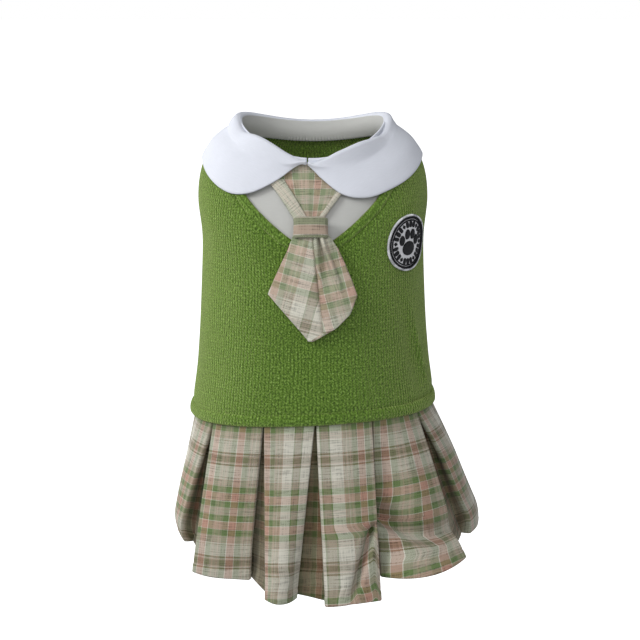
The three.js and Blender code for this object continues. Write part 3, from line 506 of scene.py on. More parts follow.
class Shading:
    """A material and short ways to add nodes to it."""

    def __init__(self, name, roughness, sheen=0.0, sheen_roughness=0.5, sheen_tint=(1, 1, 1, 1)):
        self.material = bpy.data.materials.new(name)
        self.material.use_nodes = True
        self.tree = self.material.node_tree
        self.shader = self.tree.nodes["Principled BSDF"]
        self.shader.inputs["Roughness"].default_value = roughness
        self.shader.inputs["Specular IOR Level"].default_value = 0.25
        self.shader.inputs["Sheen Weight"].default_value = sheen
        self.shader.inputs["Sheen Roughness"].default_value = sheen_roughness
        self.shader.inputs["Sheen Tint"].default_value = sheen_tint
        uv = self.node("ShaderNodeUVMap", uv_map="cloth")
        split = self.node("ShaderNodeSeparateXYZ")
        self.tree.links.new(uv.outputs[0], split.inputs[0])
        self.uv = uv.outputs[0]
        self.u, self.v = split.outputs[0], split.outputs[1]

    def node(self, kind, **settings):
        made = self.tree.nodes.new(kind)
        for name, value in settings.items():
            setattr(made, name, value)
        return made

    def put(self, value, socket):
        if isinstance(value, bpy.types.NodeSocket):
            self.tree.links.new(value, socket)
        else:
            socket.default_value = value

    def math(self, operation, *values):
        made = self.node("ShaderNodeMath", operation=operation)
        for value, socket in zip(values, made.inputs):
            self.put(value, socket)
        return made.outputs[0]

    def mix(self, share, first, second, blend="MIX"):
        made = self.node("ShaderNodeMix", data_type="RGBA", blend_type=blend)
        first_colour, second_colour, mixed = made.inputs[6], made.inputs[7], made.outputs[2]
        self.put(share, made.inputs["Factor"])
        self.put(first, first_colour)
        self.put(second, second_colour)
        return mixed

    def noise(self, per_metre_u, per_metre_v, detail=2.0, roughness=0.5, seed=0.0):
        scaled = self.node("ShaderNodeVectorMath", operation="MULTIPLY")
        self.put(self.uv, scaled.inputs[0])
        scaled.inputs[1].default_value = (per_metre_u, per_metre_v, 1)
        made = self.node("ShaderNodeTexNoise", noise_dimensions="4D")
        self.put(scaled.outputs[0], made.inputs["Vector"])
        made.inputs["W"].default_value = seed
        made.inputs["Scale"].default_value = 1
        made.inputs["Detail"].default_value = detail
        made.inputs["Roughness"].default_value = roughness
        return made.outputs["Fac"]

    def ramp(self, value, stops, interpolation="LINEAR"):
        made = self.node("ShaderNodeValToRGB")
        made.color_ramp.interpolation = interpolation
        elements = made.color_ramp.elements
        while len(elements) < len(stops):
            elements.new(1)
        for element, (position, colour) in zip(elements, stops):
            element.position = position
            element.color = colour
        self.put(value, made.inputs[0])
        return made.outputs["Color"]

    def finish(self, colour, height, depth):
        self.put(colour, self.shader.inputs["Base Color"])
        bump = self.node("ShaderNodeBump")
        bump.inputs["Distance"].default_value = depth
        self.put(height, bump.inputs["Height"])
        self.put(bump.outputs[0], self.shader.inputs["Normal"])
        return self.material


def colour(red, green, blue):
    """A colour given in display values of 0 to 255."""
    return tuple((value / 255) ** 2.2 for value in (red, green, blue)) + (1,)


def make_knit(name="knit"):
    """A knit with columns of stitches, loose fibres and pale and dark flecks."""
    shading = Shading(name, 0.95, sheen=0.65, sheen_roughness=0.45, sheen_tint=colour(222, 234, 150))
    math_of = shading.math
    wander = math_of("MULTIPLY", math_of("SUBTRACT", shading.noise(150, 90, detail=3), 0.5), 1.5)
    across = math_of("ADD", math_of("DIVIDE", shading.u, WALE), wander)
    down = math_of("ADD", math_of("DIVIDE", shading.v, COURSE), wander)
    in_wale = math_of("FRACT", across)
    from_middle = math_of("ABSOLUTE", math_of("SUBTRACT", in_wale, 0.5))
    wale = math_of("POWER", math_of("SINE", math_of("MULTIPLY", in_wale, math.pi)), 0.7)
    phase = math_of("ADD", down, math_of("MULTIPLY", from_middle, 1.5))
    stitch = math_of("SINE", math_of("MULTIPLY", phase, FULL_TURN))
    legs = math_of("ADD", math_of("MULTIPLY", stitch, 0.22), 0.72)
    groove = math_of("MULTIPLY", math_of("LESS_THAN", from_middle, 0.07), 0.12)
    fuzz = shading.noise(1500, 1100, detail=3, roughness=0.7, seed=2)
    flecks = shading.noise(900, 700, detail=4, roughness=0.75, seed=5)
    height = math_of("SUBTRACT", math_of("MULTIPLY", wale, legs), groove)
    rough = math_of("ADD", height, math_of("MULTIPLY", fuzz, 0.7))
    # The colour is darker in the hollows between the columns of stitches, painted shade, and flecked at
    # random.
    shade = math_of("ADD", math_of("MULTIPLY", height, 0.26), math_of("MULTIPLY", flecks, 2.4))
    cloud = shading.noise(26, 18, detail=3, roughness=0.6, seed=9)
    patch = math_of("MULTIPLY", math_of("SUBTRACT", cloud, 0.5), 0.16)
    shade = math_of("SUBTRACT", math_of("ADD", shade, patch), 0.96)
    yarn = shading.ramp(shade, [
        (0, colour(42, 62, 16)),
        (0.28, colour(74, 102, 32)),
        (0.5, colour(102, 136, 50)),
        (0.75, colour(150, 182, 92)),
        (1, colour(214, 226, 164)),
    ])
    return shading.finish(yarn, rough, depth=0.75 * MM)


def make_cotton(name="cotton", tint=(228, 231, 240)):
    """A fine plain weave with soft unevenness."""
    shading = Shading(name, 0.9, sheen=0.1)
    thread = 0.34 * MM
    warp = shading.math("SINE", shading.math("MULTIPLY", shading.u, FULL_TURN / thread))
    weft = shading.math("SINE", shading.math("MULTIPLY", shading.v, FULL_TURN / thread))
    weave = shading.math("MULTIPLY", warp, weft)
    slub = shading.noise(160, 1400, detail=2, roughness=0.6)
    cloud = shading.noise(45, 45, detail=3, roughness=0.6, seed=3)
    height = shading.math("ADD", shading.math("MULTIPLY", weave, 0.35), slub)
    pale = colour(*tint)
    deep = tuple(0.93 * value for value in pale[:3]) + (1,)
    tone = shading.math("ADD", shading.math("MULTIPLY", slub, 0.6), shading.math("MULTIPLY", cloud, 0.5))
    return shading.finish(shading.ramp(tone, [(0.3, deep), (0.75, pale)]), height, depth=0.12 * MM)


# The plaid's stripes from the middle of the light group out to half its repeat, each with the place
# where it ends in millimetres. STRIPES_DOWN follow each other down the skirt, so each goes round it.
# STRIPES_ACROSS follow each other round it, so each runs down.
YARNS = {
    "cream": colour(196, 193, 180),
    "shade": colour(164, 158, 141),
    "taupe": colour(138, 132, 110),
    "green": colour(100, 121, 76),
    "moss": colour(92, 106, 68),
    "pink": colour(176, 144, 128),
    "salmon": colour(154, 110, 92),
    "dusk": colour(158, 138, 120),
    "rose": colour(176, 158, 144),
    "brown": colour(126, 116, 96),
}
PLAID_REPEAT = 69
STRIPES_DOWN = [
    ("shade", 1), ("rose", 1.6), ("shade", 2.6), ("green", 6.6), ("cream", 6.9), ("pink", 12),
    ("cream", 12.3), ("green", 16.3), ("shade", 17.4), ("rose", 18), ("shade", 18.8),
    ("rose", 19.4), ("shade", 20.4),
    ("rose", 20.9), ("cream", 22), ("shade", 22.5), ("cream", 30), ("brown", 31.2), ("cream", 31.6),
    ("rose", 32.6), ("brown", 34.5),
]
STRIPES_ACROSS = [
    ("taupe", 1), ("dusk", 1.8), ("taupe", 3.3), ("moss", 7), ("cream", 7.4), ("salmon", 12), ("cream", 12.3),
    ("moss", 16), ("taupe", 17), ("dusk", 17.8), ("taupe", 19.4), ("shade", 20), ("dusk", 20.6),
    ("taupe", 22), ("dusk", 22.8), ("cream", 31), ("moss", 32), ("brown", 34.5),
]


def stripes(shading, place, yarns):
    """The colour of a yarn at a place, in a sett that repeats and mirrors."""
    turns = shading.math("DIVIDE", place, PLAID_REPEAT * MM)
    away = shading.math("PINGPONG", turns, 0.5)
    starts = [0] + [reach for _, reach in yarns[:-1]]
    stops = [(2 * start / PLAID_REPEAT, YARNS[name]) for start, (name, _) in zip(starts, yarns)]
    return shading.ramp(shading.math("MULTIPLY", away, 2), stops, "CONSTANT")


def make_plaid(name, middle=0, pleated=False, lightness=1, fade=0, down=STRIPES_DOWN,
               across=STRIPES_ACROSS):
    """A woven plaid. middle is where the light group lies down the cloth, and pleated cloth is painted
    darker where it is folded away: painted shade in the deep of the pleats."""
    shading = Shading(name, 0.88, sheen=0.12)
    math_of = shading.math
    thread = 0.42 * MM
    warp_wave = math_of("SINE", math_of("MULTIPLY", shading.u, math.pi / thread))
    weft_wave = math_of("SINE", math_of("MULTIPLY", shading.v, math.pi / thread))
    over = math_of("MULTIPLY", warp_wave, weft_wave)
    share = math_of("ADD", math_of("MULTIPLY", over, 0.3), 0.5)
    woven = shading.mix(
        share,
        stripes(shading, math_of("SUBTRACT", shading.v, middle), down),
        stripes(shading, shading.u, across),
    )
    if fade:
        woven = shading.mix(fade, woven, YARNS["cream"])
    slub_down = shading.noise(1300, 70, detail=2, roughness=0.6, seed=1)
    slub_across = shading.noise(70, 1300, detail=2, roughness=0.6, seed=4)
    slub = math_of("ADD", math_of("MULTIPLY", slub_down, 0.8), math_of("MULTIPLY", slub_across, 1.2))
    tone = shading.ramp(slub, [
        (0.76, (0.62 * lightness, 0.62 * lightness, 0.6 * lightness, 1)),
        (1.24, (1.2 * lightness, 1.2 * lightness, 1.2 * lightness, 1)),
    ])
    cloth = shading.mix(1.0, woven, tone, "MULTIPLY")
    height = math_of("ADD", math_of("MULTIPLY", over, 0.4), slub)
    # The cloth folded away behind each panel is painted darker and olive: painted shade in the deep of the
    # pleats.
    if pleated:
        pleat_cloth = PLEAT_PANEL_CLOTH + PLEAT_HIDDEN_CLOTH
        from_start = math_of("SUBTRACT", shading.u, SKIRT_SETT_START)
        place = math_of("FRACT", math_of("DIVIDE", from_start, pleat_cloth))
        edge = PLEAT_PANEL_CLOTH / pleat_cloth
        open_tone = (1, 1, 1, 1)
        painted_shade_tone = (0.5, 0.46, 0.36, 1)
        depth = shading.ramp(place, [
            (edge, open_tone), (edge + 0.04, painted_shade_tone), (0.95, painted_shade_tone), (1, open_tone),
        ])
        cloth = shading.mix(1.0, cloth, depth, "MULTIPLY")
    return shading.finish(cloth, height, depth=0.22 * MM)


def make_thread(name, pale, deep, stitch=0.5 * MM, lustre=0.55):
    """Embroidery with its stitches side by side."""
    shading = Shading(name, lustre)
    wander = shading.math("MULTIPLY", shading.noise(300, 300, detail=2), 1.6)
    place = shading.math("ADD", shading.math("DIVIDE", shading.u, stitch), wander)
    strand = shading.math("ABSOLUTE", shading.math("SINE", shading.math("MULTIPLY", place, math.pi)))
    uneven = shading.noise(900, 900, detail=2, roughness=0.6, seed=3)
    # The colour is darker between the strands, painted shade in the grooves, and uneven at random.
    tone = shading.math("ADD", strand, shading.math("MULTIPLY", uneven, 0.5))
    return shading.finish(shading.ramp(tone, [(0.1, deep), (0.9, pale)]), strand, depth=0.25 * MM)


KNIT = make_knit()
COTTON = make_cotton()
# A greyer copy of the white cotton for the shirt front and the inner neck band: painted shade, as both lie in
# shade.
COTTON_PAINTED_SHADE = make_cotton("cotton_painted_shade", (198, 198, 194))
PLAID_SKIRT = make_plaid("plaid_skirt", SKIRT_SETT_MIDDLE, pleated=True, lightness=0.97)
PLAID_TIE = make_plaid("plaid_tie", lightness=1.08, fade=0.18)
PLAIN = [("cream", 34.5)]
PLAID_BAND = make_plaid("plaid_band", lightness=0.84, across=[("shade", 34.5)])
PLAID_FOLD = make_plaid("plaid_fold", lightness=1.08, fade=0.2, down=PLAIN)
WHITE_THREAD = make_thread("white_thread", colour(250, 250, 253), colour(200, 200, 208))
GREY_THREAD = make_thread("grey_thread", colour(222, 223, 227), colour(96, 98, 104), 0.7 * MM)
BLACK_THREAD = make_thread("black_thread", colour(24, 25, 30), colour(6, 6, 9), lustre=0.85)


def knit_uv(angle, points):
    """Places in the knit, with its columns of stitches going down the garment."""
    wales = round(FULL_TURN * (CHEST_WIDTH + CHEST_DEPTH) / 4 / WALE)
    u = np.broadcast_to(angle, points.shape[:2]) / FULL_TURN * wales * WALE
    return np.stack([u, -points[..., 2]], axis=-1)


def vest_relief(angle, height):
    """How far the soft folds of the vest stand out."""
    out = np.zeros(np.broadcast(angle, height).shape)
    for fold in zip(*VEST_FOLDS.values()):
        fold_angle, fold_height, wide, tall, lean, lift = fold
        drop = (height + fold_height * BACK_LENGTH) / (tall * BACK_LENGTH)
        turn = angle / DEGREE - fold_angle + lean * drop / 2
        turn = (turn + 180) % 360 - 180
        out += lift * bell(turn / wide) * bell(drop)
    return out


def leg_hole_place(angle, height):
    """The nearer leg hole's middle angle, and a place's distance from its middle: 1 on its edge."""
    middle = np.where(angle > 0, 1, -1) * LEG_HOLE_ANGLE
    centre = face_point(middle, level_at_height(middle, -LEG_HOLE_DROP))
    half_angle = LEG_HOLE_WIDTH / 2 / np.hypot(centre[..., 0], centre[..., 1])
    across = (angle - middle) / half_angle
    rise = (height + LEG_HOLE_DROP) / (LEG_HOLE_HEIGHT / 2)
    return middle, np.hypot(across, rise)


def join_walls(faces, uvs, outer_count, to_inner):
    """The faces of a shell with walls added along the edges of its holes, so that it is closed."""
    start = faces.ravel()
    end = np.roll(faces, -1, axis=1).ravel()
    span = faces.max() + 1
    alone = ~np.isin(start * span + end, end * span + start)
    alone &= (start < outer_count) & (end < outer_count)
    start_uv = uvs.reshape(-1, 2)[alone]
    end_uv = np.roll(uvs, -1, axis=1).reshape(-1, 2)[alone]
    start, end = start[alone], end[alone]
    walls = np.stack([end, start, start + to_inner, end + to_inner], axis=1)
    wall_uvs = np.stack([end_uv, start_uv, start_uv, end_uv], axis=1)
    return np.concatenate([faces, walls]), np.concatenate([uvs, wall_uvs])


def make_bodice():
    columns, rows = 300, 96
    angle = full_turn(columns, -math.pi)
    hem_height = face_point(angle, HEM_LEVEL)[..., 2]
    bottom = level_at_height(angle, hem_height + HEM_BAND_HEIGHT + LAYER_GAP)
    under_v = level_at_height(angle, v_edge_height(np.clip(angle, -V_TOP_ANGLE, V_TOP_ANGLE)) - V_BAND_WIDTH)
    top = np.where(np.abs(angle) < V_TOP_ANGLE, np.maximum(under_v, NECK_LEVEL), NECK_LEVEL)
    closer_at_top = 1.15
    share = np.linspace(0, 1, rows)[:, None] ** closer_at_top
    level = mix(top, bottom, share)
    angle = np.broadcast_to(angle, level.shape).copy()
    height = face_point(angle, level)[..., 2]
    middle, distance = leg_hole_place(angle, height)
    open_area = distance < 1
    inner = open_area.copy()
    for step, axis in ((1, 0), (-1, 0), (1, 1), (-1, 1)):
        inner &= np.roll(open_area, step, axis)
    edge = open_area & ~inner
    angle[edge] = middle[edge] + (angle[edge] - middle[edge]) / distance[edge]
    height[edge] = -LEG_HOLE_DROP + (height[edge] + LEG_HOLE_DROP) / distance[edge]
    level[edge] = level_at_height(angle[edge], height[edge])
    under_bands = 0.8 * MM
    settle = bell((share - 1) / 0.025) + bell(share / 0.02)
    relief = vest_relief(angle, height) - under_bands * settle
    points = garment_point(angle, level, relief - KNIT_THICKNESS / 2)
    uv = knit_uv(np.concatenate([angle, angle[:, :1] + FULL_TURN], axis=1), wrapped(points))
    all_points, faces, uvs = cloth_shell(points, uv, KNIT_THICKNESS - 0.4 * MM, True)
    hidden = np.concatenate([np.pad(inner, ((1, 1), (0, 0))).ravel(), inner.ravel()])
    kept = ~hidden[faces].any(axis=1)
    faces, uvs = join_walls(faces[kept], uvs[kept], (rows + 2) * columns, (rows + 1) * columns)
    used = np.unique(faces)
    number = np.zeros(len(all_points), int)
    number[used] = np.arange(len(used))
    shell = (all_points[used], number[faces], uvs)
    return piece_from_shells("vest", [shell], KNIT, ["bodice"])


def band_offset(share):
    """The offset of the middle of a knitted band, at shares across it. It stands proud in its middle."""
    return -KNIT_THICKNESS / 2 + BAND_PROUD * np.sin(math.pi * share) ** 0.5


def make_hem_band():
    columns, rows = 300, 12
    angle = full_turn(columns, -math.pi)
    share = np.linspace(0, 1, rows)[:, None]
    hem_height = face_point(angle, HEM_LEVEL)[..., 2]
    height = hem_height + HEM_BAND_HEIGHT * (1 - share)
    offset = band_offset(share) + 0 * height
    ripple = 0.25 * MM * np.sin(11 * angle) * np.sin(4.3 * angle + 1)
    points = garment_point(angle + 0 * height, level_at_height(angle, height), offset + ripple)
    uv = knit_uv(np.append(angle, math.pi), wrapped(points))
    thickness = KNIT_THICKNESS * mix(0.7, 1.15, np.sin(math.pi * share) ** 0.5)
    shell = cloth_shell(points, uv, np.broadcast_to(thickness, height.shape), True)
    return piece_from_shells("knitted_hem", [shell], KNIT, ["hem_band"])


def make_v_band():
    columns, rows = 160, 12
    angle = np.linspace(-V_TOP_ANGLE, V_TOP_ANGLE, columns)
    share = np.linspace(0, 1, rows)[:, None]
    height = v_edge_height(angle) - V_BAND_WIDTH * share
    level = np.maximum(level_at_height(angle, height), NECK_LEVEL)
    points = garment_point(angle, level, band_offset(share) + 0 * height)
    drawn_in = 0.7
    uv = np.stack(np.broadcast_arrays(share * V_BAND_WIDTH * drawn_in, run_along(points[0])), axis=-1)
    shell = cloth_shell(points, uv, KNIT_THICKNESS * 0.95, False)
    return piece_from_shells("v_band", [shell], KNIT, ["v_neck_band"])


def make_leg_band(side, name, node):
    steps, rows = 120, 9
    turn = full_turn(steps)
    share = np.linspace(0, 1, rows)[:, None]
    inset = mix(EDGE_OVERLAP, LEG_BAND_WIDTH, share)
    middle = side * LEG_HOLE_ANGLE
    centre = face_point(middle, level_at_height(middle, -LEG_HOLE_DROP))
    across = (LEG_HOLE_WIDTH / 2 - inset) * np.cos(side * turn)
    rise = (LEG_HOLE_HEIGHT / 2 - inset) * np.sin(side * turn)
    angle = middle + across / np.hypot(centre[0], centre[1])
    level = level_at_height(angle, rise - LEG_HOLE_DROP)
    points = garment_point(angle, level, band_offset(share) + 0 * across)[::-1]
    wales = round(math.pi * (LEG_HOLE_WIDTH + LEG_HOLE_HEIGHT) / 2 / WALE)
    uv = np.stack(np.broadcast_arrays(
        np.append(turn, FULL_TURN) / FULL_TURN * wales * WALE, inset,
    ), axis=-1)
    shell = cloth_shell(points, uv, KNIT_THICKNESS * 0.95, True)
    return piece_from_shells(name, [shell], KNIT, [node])


def make_shirt_front():
    columns, rows = 72, 40
    angle = np.linspace(-V_TOP_ANGLE, V_TOP_ANGLE, columns)
    bottom = level_at_height(angle, v_edge_height(angle) - SHIRT_UNDERLAP)
    level = mix(SHIRT_TOP_LEVEL - 0.25, bottom, np.linspace(0, 1, rows)[:, None])
    wave = 0.35 * MM * np.sin(9 * angle + 0.4) * np.sin(2.1 * level)
    points = garment_point(angle + 0 * level, level, UNDER_KNIT - SHIRT_THICKNESS / 2 + wave)
    uv = np.stack([angle * CHEST_WIDTH / 2 + 0 * level, -points[..., 2]], axis=-1)
    shell = cloth_shell(points, uv, SHIRT_THICKNESS * 0.8, False)
    return piece_from_shells("shirt_insert", [shell], COTTON_PAINTED_SHADE, ["shirt_front"])


def make_neck_band():
    columns, rows = 900, 16
    angle = full_turn(columns)
    signed = (angle + math.pi) % FULL_TURN - math.pi
    lowered = np.maximum(0, -fold_rise(signed)) / np.linalg.norm(face_point(0, 1) - face_point(0, 0))
    top = BAND_TOP_LEVEL - 1.1 * COLLAR_SEAM_LEVELS + lowered
    share = np.linspace(0, 1, rows)[:, None]
    level = mix(top, BAND_BOTTOM_LEVEL, share)
    stitch_height = 0.35 * MM
    stitches = 150
    serged = stitch_height * np.sin(stitches * angle) * bell((share - 0.94) / 0.09)
    offset = UNDER_KNIT - SHIRT_THICKNESS / 2 - stitch_height + serged
    points = garment_point(angle + 0 * level, level, offset)
    neck_share = 0.69
    u = np.append(angle, FULL_TURN) * CHEST_WIDTH / 2 * neck_share
    height = wrapped(points)[..., 2]
    uv = np.stack([u + 0 * height, -height], axis=-1)
    shell = cloth_shell(points, uv, SHIRT_THICKNESS * 0.9, True)
    return piece_from_shells("inner_band", [shell], COTTON_PAINTED_SHADE, ["neck_band"])


def curve_through(controls, rows):
    """Points of centripetal curves through controls of shape (controls, columns, 3), rows going along."""
    first = 2 * controls[0] - controls[1]
    last = 2 * controls[-1] - controls[-2]
    padded = np.concatenate([first[None], controls, last[None]])
    gaps = np.sqrt(np.maximum(np.linalg.norm(np.diff(padded, axis=0), axis=-1), 1e-9))[..., None]
    knots = np.concatenate([np.zeros_like(gaps[:1]), np.cumsum(gaps, axis=0)])
    points = []
    for place in np.linspace(0, len(controls) - 1, rows):
        i = min(int(place), len(controls) - 2)
        p, k = padded[i:i + 4], knots[i:i + 4]
        t = mix(k[1], k[2], place - i)
        near = [mix(p[n], p[n + 1], (t - k[n]) / (k[n + 1] - k[n])) for n in range(3)]
        wide = [mix(near[n], near[n + 1], (t - k[n]) / (k[n + 2] - k[n])) for n in range(2)]
        points.append(mix(wide[0], wide[1], (t - k[1]) / (k[2] - k[1])))
    return np.array(points)


def fold_rise(angle):
    return smooth(COLLAR_RISE["rise"], position_of(COLLAR_RISE["angle"], angle / DEGREE))


def make_collar():
    columns, rows = 260, 64
    share = np.linspace(0, 1, columns)
    share = share - np.sin(FULL_TURN * share) / 16
    angle = mix(COLLAR_OPENING_ANGLE, FULL_TURN - COLLAR_OPENING_ANGLE, share)
    turned = np.where(angle > math.pi, angle - FULL_TURN, angle)
    signed = turned + COLLAR_SHIFT_ANGLE * bell(turned / COLLAR_SHIFT_REACH)
    place = position_of(COLLAR_EDGE["angle"], np.abs(turned) / DEGREE)
    side_share = np.where(turned < 0, smooth(COLLAR_EDGE["left"], place), smooth(COLLAR_EDGE["right"], place))
    width = COLLAR_WIDTH * side_share
    full = np.minimum(1, width / (COLLAR_WIDTH / 4))
    edge_level = level_at_length(signed, width)
    outward = np.stack([np.sin(signed), -np.cos(signed), 0 * signed], axis=-1)
    fold = face_point(signed, 0) + fold_rise(signed)[:, None] * (0, 0, 1)
    inside = UNDER_KNIT - SHIRT_THICKNESS / 2
    lowest = garment_point(signed, BAND_TOP_LEVEL - COLLAR_SEAM_LEVELS + 0 * signed, inside + 0 * signed)

    def beside(out, rise):
        lift = np.zeros_like(outward)
        lift[:, 2] = rise
        return fold + outward * np.broadcast_to(out, signed.shape)[:, None] + lift

    controls = [lowest, beside(inside, -LAYER_GAP)]
    for out, rise, roll in zip(*COLLAR_ROLL.values(), (COLLAR_THICKNESS, COLLAR_THICKNESS * full)):
        controls.append(beside(out * roll, rise * roll))
    base = OVER_BANDS + COLLAR_THICKNESS / 2

    def fall(along):
        lift = smooth(COLLAR_FALL["lift"], position_of(COLLAR_FALL["along"], along))
        return garment_point(signed, edge_level * along, base + COLLAR_THICKNESS * full * lift)

    landing = fall(COLLAR_LANDING)
    bow = mix(COLLAR_BOW["right"], COLLAR_BOW["left"], 1 / (1 + np.exp(3 * np.sin(signed))))
    half_way = edge_level * 0.5
    normal = unit(garment_point(signed, half_way, MM + 0 * signed) - face_point(signed, half_way))
    for along in (0.11, 0.22, 0.33, 0.44, 0.58, 0.72, 0.86, 1):
        dents = np.zeros(columns)
        for dent_angle, dent_along, wide, tall, height in zip(*COLLAR_DENTS.values()):
            turn = (signed / DEGREE - dent_angle + 180) % 360 - 180
            dents += height * COLLAR_THICKNESS * bell(turn / wide) * bell((along - dent_along) / tall)
        if along < COLLAR_LANDING:
            share = along / COLLAR_LANDING
            points = mix(controls[3], landing, share)
            dents = dents + bow * full * math.sin(math.pi * share)
        else:
            points = fall(along)
        controls.append(points + normal * (dents * full * min(1, 8 * (1 - along) + 0.1))[:, None])
    points = curve_through(np.array(controls), rows)
    run = run_along(points)
    uv = np.stack([angle * CHEST_WIDTH / 2 + 0 * run, run], axis=-1)
    to_edge = run[-1] - run
    thickness = COLLAR_THICKNESS * (0.62 + 0.2 * bell((to_edge - 2.4 * MM) / (1.8 * MM)))
    shell = cloth_shell(points, uv, thickness, False)
    return piece_from_shells("round_collar", [shell], COTTON, ["collar"])


def pleat_corner(angle, hem_angle, out, drop, share):
    """A corner of a pleat at shares down the skirt. Below 0 it is tucked in behind the knitted hem."""
    offset = UNDER_KNIT - SKIRT_CLOTH / 2
    waist = garment_point(angle, HEM_LEVEL, offset)
    tuck_height = face_point(angle, HEM_LEVEL)[..., 2] + SKIRT_TUCK_IN
    tucked = garment_point(angle, level_at_height(angle, tuck_height), offset)
    hem = np.array([
        SKIRT_SWAY_SIDE + SKIRT_HEM_WIDTH / 2 * out * math.sin(hem_angle),
        SKIRT_SWAY_BACK - SKIRT_HEM_DEPTH / 2 * out * math.cos(hem_angle),
        -BACK_LENGTH - SKIRT_LENGTH * drop,
    ])
    open_share = np.maximum(share, 0)[:, None]
    tuck_share = np.maximum(-share, 0)[:, None]
    return waist + (hem - waist) * open_share + (tucked - waist) * tuck_share


def panel_relief(pleat, across, down):
    """How far a pleat's panel stands out at a place, beyond its plain bow."""
    out = np.zeros(np.broadcast(across, down).shape)
    for owner, at_across, at_down, wide, tall, lift in zip(*PLEAT_DENTS.values()):
        if owner == pleat:
            out += lift * bell((across - at_across) / wide) * bell((down - at_down) / tall)
    if pleat == CREASE["pleat"]:
        line = mix(CREASE["left"], CREASE["right"], across) + CREASE["sag"] * np.sin(math.pi * across)
        below = down - line
        out -= CREASE["valley"] * bell(below / np.where(below < 0, 0.12, 0.024))
        out += CREASE["flip"] * np.clip(below / (1 - line), 0, 1) ** 0.8
    if pleat == CORNER["pleat"]:
        run = (down - CORNER["edge_down"]) / (1 - CORNER["edge_down"])
        past = across - mix(1, CORNER["hem_across"], run)
        strength = np.clip(run / 0.15, 0, 1) * np.clip((1.02 - run) / 0.25, 0, 1)
        out -= CORNER["valley"] * bell(past / np.where(past < 0, 0.11, 0.04)) * strength
    return out * np.clip(down / 0.12, 0, 1)


def pleat_panels(share):
    """The corners, directions and bow of every pleat's panel, at shares down the skirt."""
    panels = []
    for k in range(PLEAT_COUNT):
        row = {name: values[k] for name, values in PLEATS.items()}
        next_waist = PLEATS["waist"][k + 1] if k + 1 < PLEAT_COUNT else PLEATS["waist"][0] + 360
        start_angle = row["waist"] * DEGREE + PLEAT_EDGE_ANGLE
        end_angle = next_waist * DEGREE - PLEAT_EDGE_ANGLE
        start = pleat_corner(start_angle, row["left"] * DEGREE, row["out_left"], row["drop_left"], share)
        end = pleat_corner(end_angle, row["right"] * DEGREE, row["out_right"], row["drop_right"], share)
        along = (end - start) * (1, 1, 0)
        width = np.linalg.norm(along, axis=1)
        along = unit(along)
        outward = np.stack([along[:, 1], -along[:, 0], 0 * width], axis=-1)
        waist_bow = width * math.tan((end_angle - start_angle) / 8)
        bow = mix(waist_bow, row["bow"] * width, np.maximum(share, 0) ** SKIRT_BOW_POWER)
        curl = -row["curl"] * SKIRT_LENGTH * np.clip((share - 0.8) / 0.2, 0, 1) ** 2
        panels.append({
            "start": start, "end": end, "along": along, "outward": outward, "bow": bow, "curl": curl,
        })
    return panels


# Places across a pleat's panel, closer together on the two that are creased
COLUMNS = (0, 0.025, 0.1, 0.2, 0.32, 0.44, 0.56, 0.68, 0.8, 0.9, 0.975, 1)
FINE_COLUMNS = (0, 0.02, *np.linspace(0.06, 0.94, 23), 0.98, 1)

# Places along the cloth that folds away behind a panel's edge
FOLD_STEPS = (0, 0.4, 0.8, 1)


def pleat_line(share):
    """Points and lengths of cloth along the skirt, of shape (rows, columns, 4), all the way round."""
    panels = pleat_panels(share)
    opened = np.maximum(share, 0)
    tuck = mix(PLEAT_TUCK_AT_WAIST, PLEAT_TUCK_AT_HEM, opened)
    depth = mix(2 * PLEAT_LAYER_STEP, PLEAT_DEPTH_AT_HEM, opened)
    step = PLEAT_LAYER_STEP + 0 * depth
    columns = []
    for k, panel in enumerate(panels):
        following = (k + 1) % PLEAT_COUNT
        after = panels[following]
        face = []
        for across in FINE_COLUMNS if k in (CREASE["pleat"], CORNER["pleat"]) else COLUMNS:
            out = 4 * panel["bow"] * across * (1 - across) + panel["curl"] + panel_relief(k, across, opened)
            face.append(mix(panel["start"], panel["end"], across) + panel["outward"] * out[:, None])
        end_out = panel["curl"] + panel_relief(k, 1, opened)
        start_out = after["curl"] + panel_relief(following, 0, opened)

        def behind(corner, owner, out, tucked, deep):
            stand = (out - deep)[:, None]
            return corner + owner["along"] * tucked[:, None] + owner["outward"] * stand

        back = [behind(panel["end"], panel, end_out, -tuck * inward, mix(step, depth - step, inward))
                for inward in FOLD_STEPS]
        forth = [behind(after["start"], after, start_out, tuck * inward, mix(step, depth - step, inward))
                 for inward in reversed(FOLD_STEPS)]
        low_end = behind(panel["end"], panel, 0 * end_out, -tuck * 0.9, depth)
        low_start = behind(after["start"], after, 0 * start_out, tuck * 0.9, depth)
        sway = 1.5 * MM * opened * np.sin(7 * k + 5 * opened)
        floor = []
        for across in (0, 0.25, 0.5, 0.75, 1):
            lift = (sway * math.sin(math.pi * across))[:, None]
            floor.append(mix(low_end, low_start, across) + after["outward"] * lift)
        hidden = back + floor + forth
        shown = np.array(face)
        run = path_share(shown) * PLEAT_PANEL_CLOTH
        next_face = after["start"] + after["outward"] * start_out[:, None]
        hidden_share = path_share(np.array([face[-1]] + hidden + [next_face]))
        hidden_run = PLEAT_PANEL_CLOTH + hidden_share[1:-1] * PLEAT_HIDDEN_CLOTH
        cloth = k * (PLEAT_PANEL_CLOTH + PLEAT_HIDDEN_CLOTH) + np.concatenate([run, hidden_run])
        stretch = np.concatenate([shown, np.array(hidden)])
        columns.append(np.concatenate([stretch, cloth[..., None]], axis=-1))
    return np.concatenate(columns).transpose(1, 0, 2)


def path_share(points):
    """How far along a path of shape (points, rows, 3) each point lies, from 0 to 1."""
    run = run_along(points)
    return run / np.maximum(run[-1], 1e-9)


def cut_corners(line, whole):
    """A closed line with each corner cut once. whole is added to the last column past the seam."""
    after = np.roll(line, -1, axis=1)
    after[:, -1, 3] += whole
    first = mix(line, after, 0.25)
    second = mix(line, after, 0.75)
    return np.stack([first, second], axis=2).reshape(line.shape[0], -1, 4)


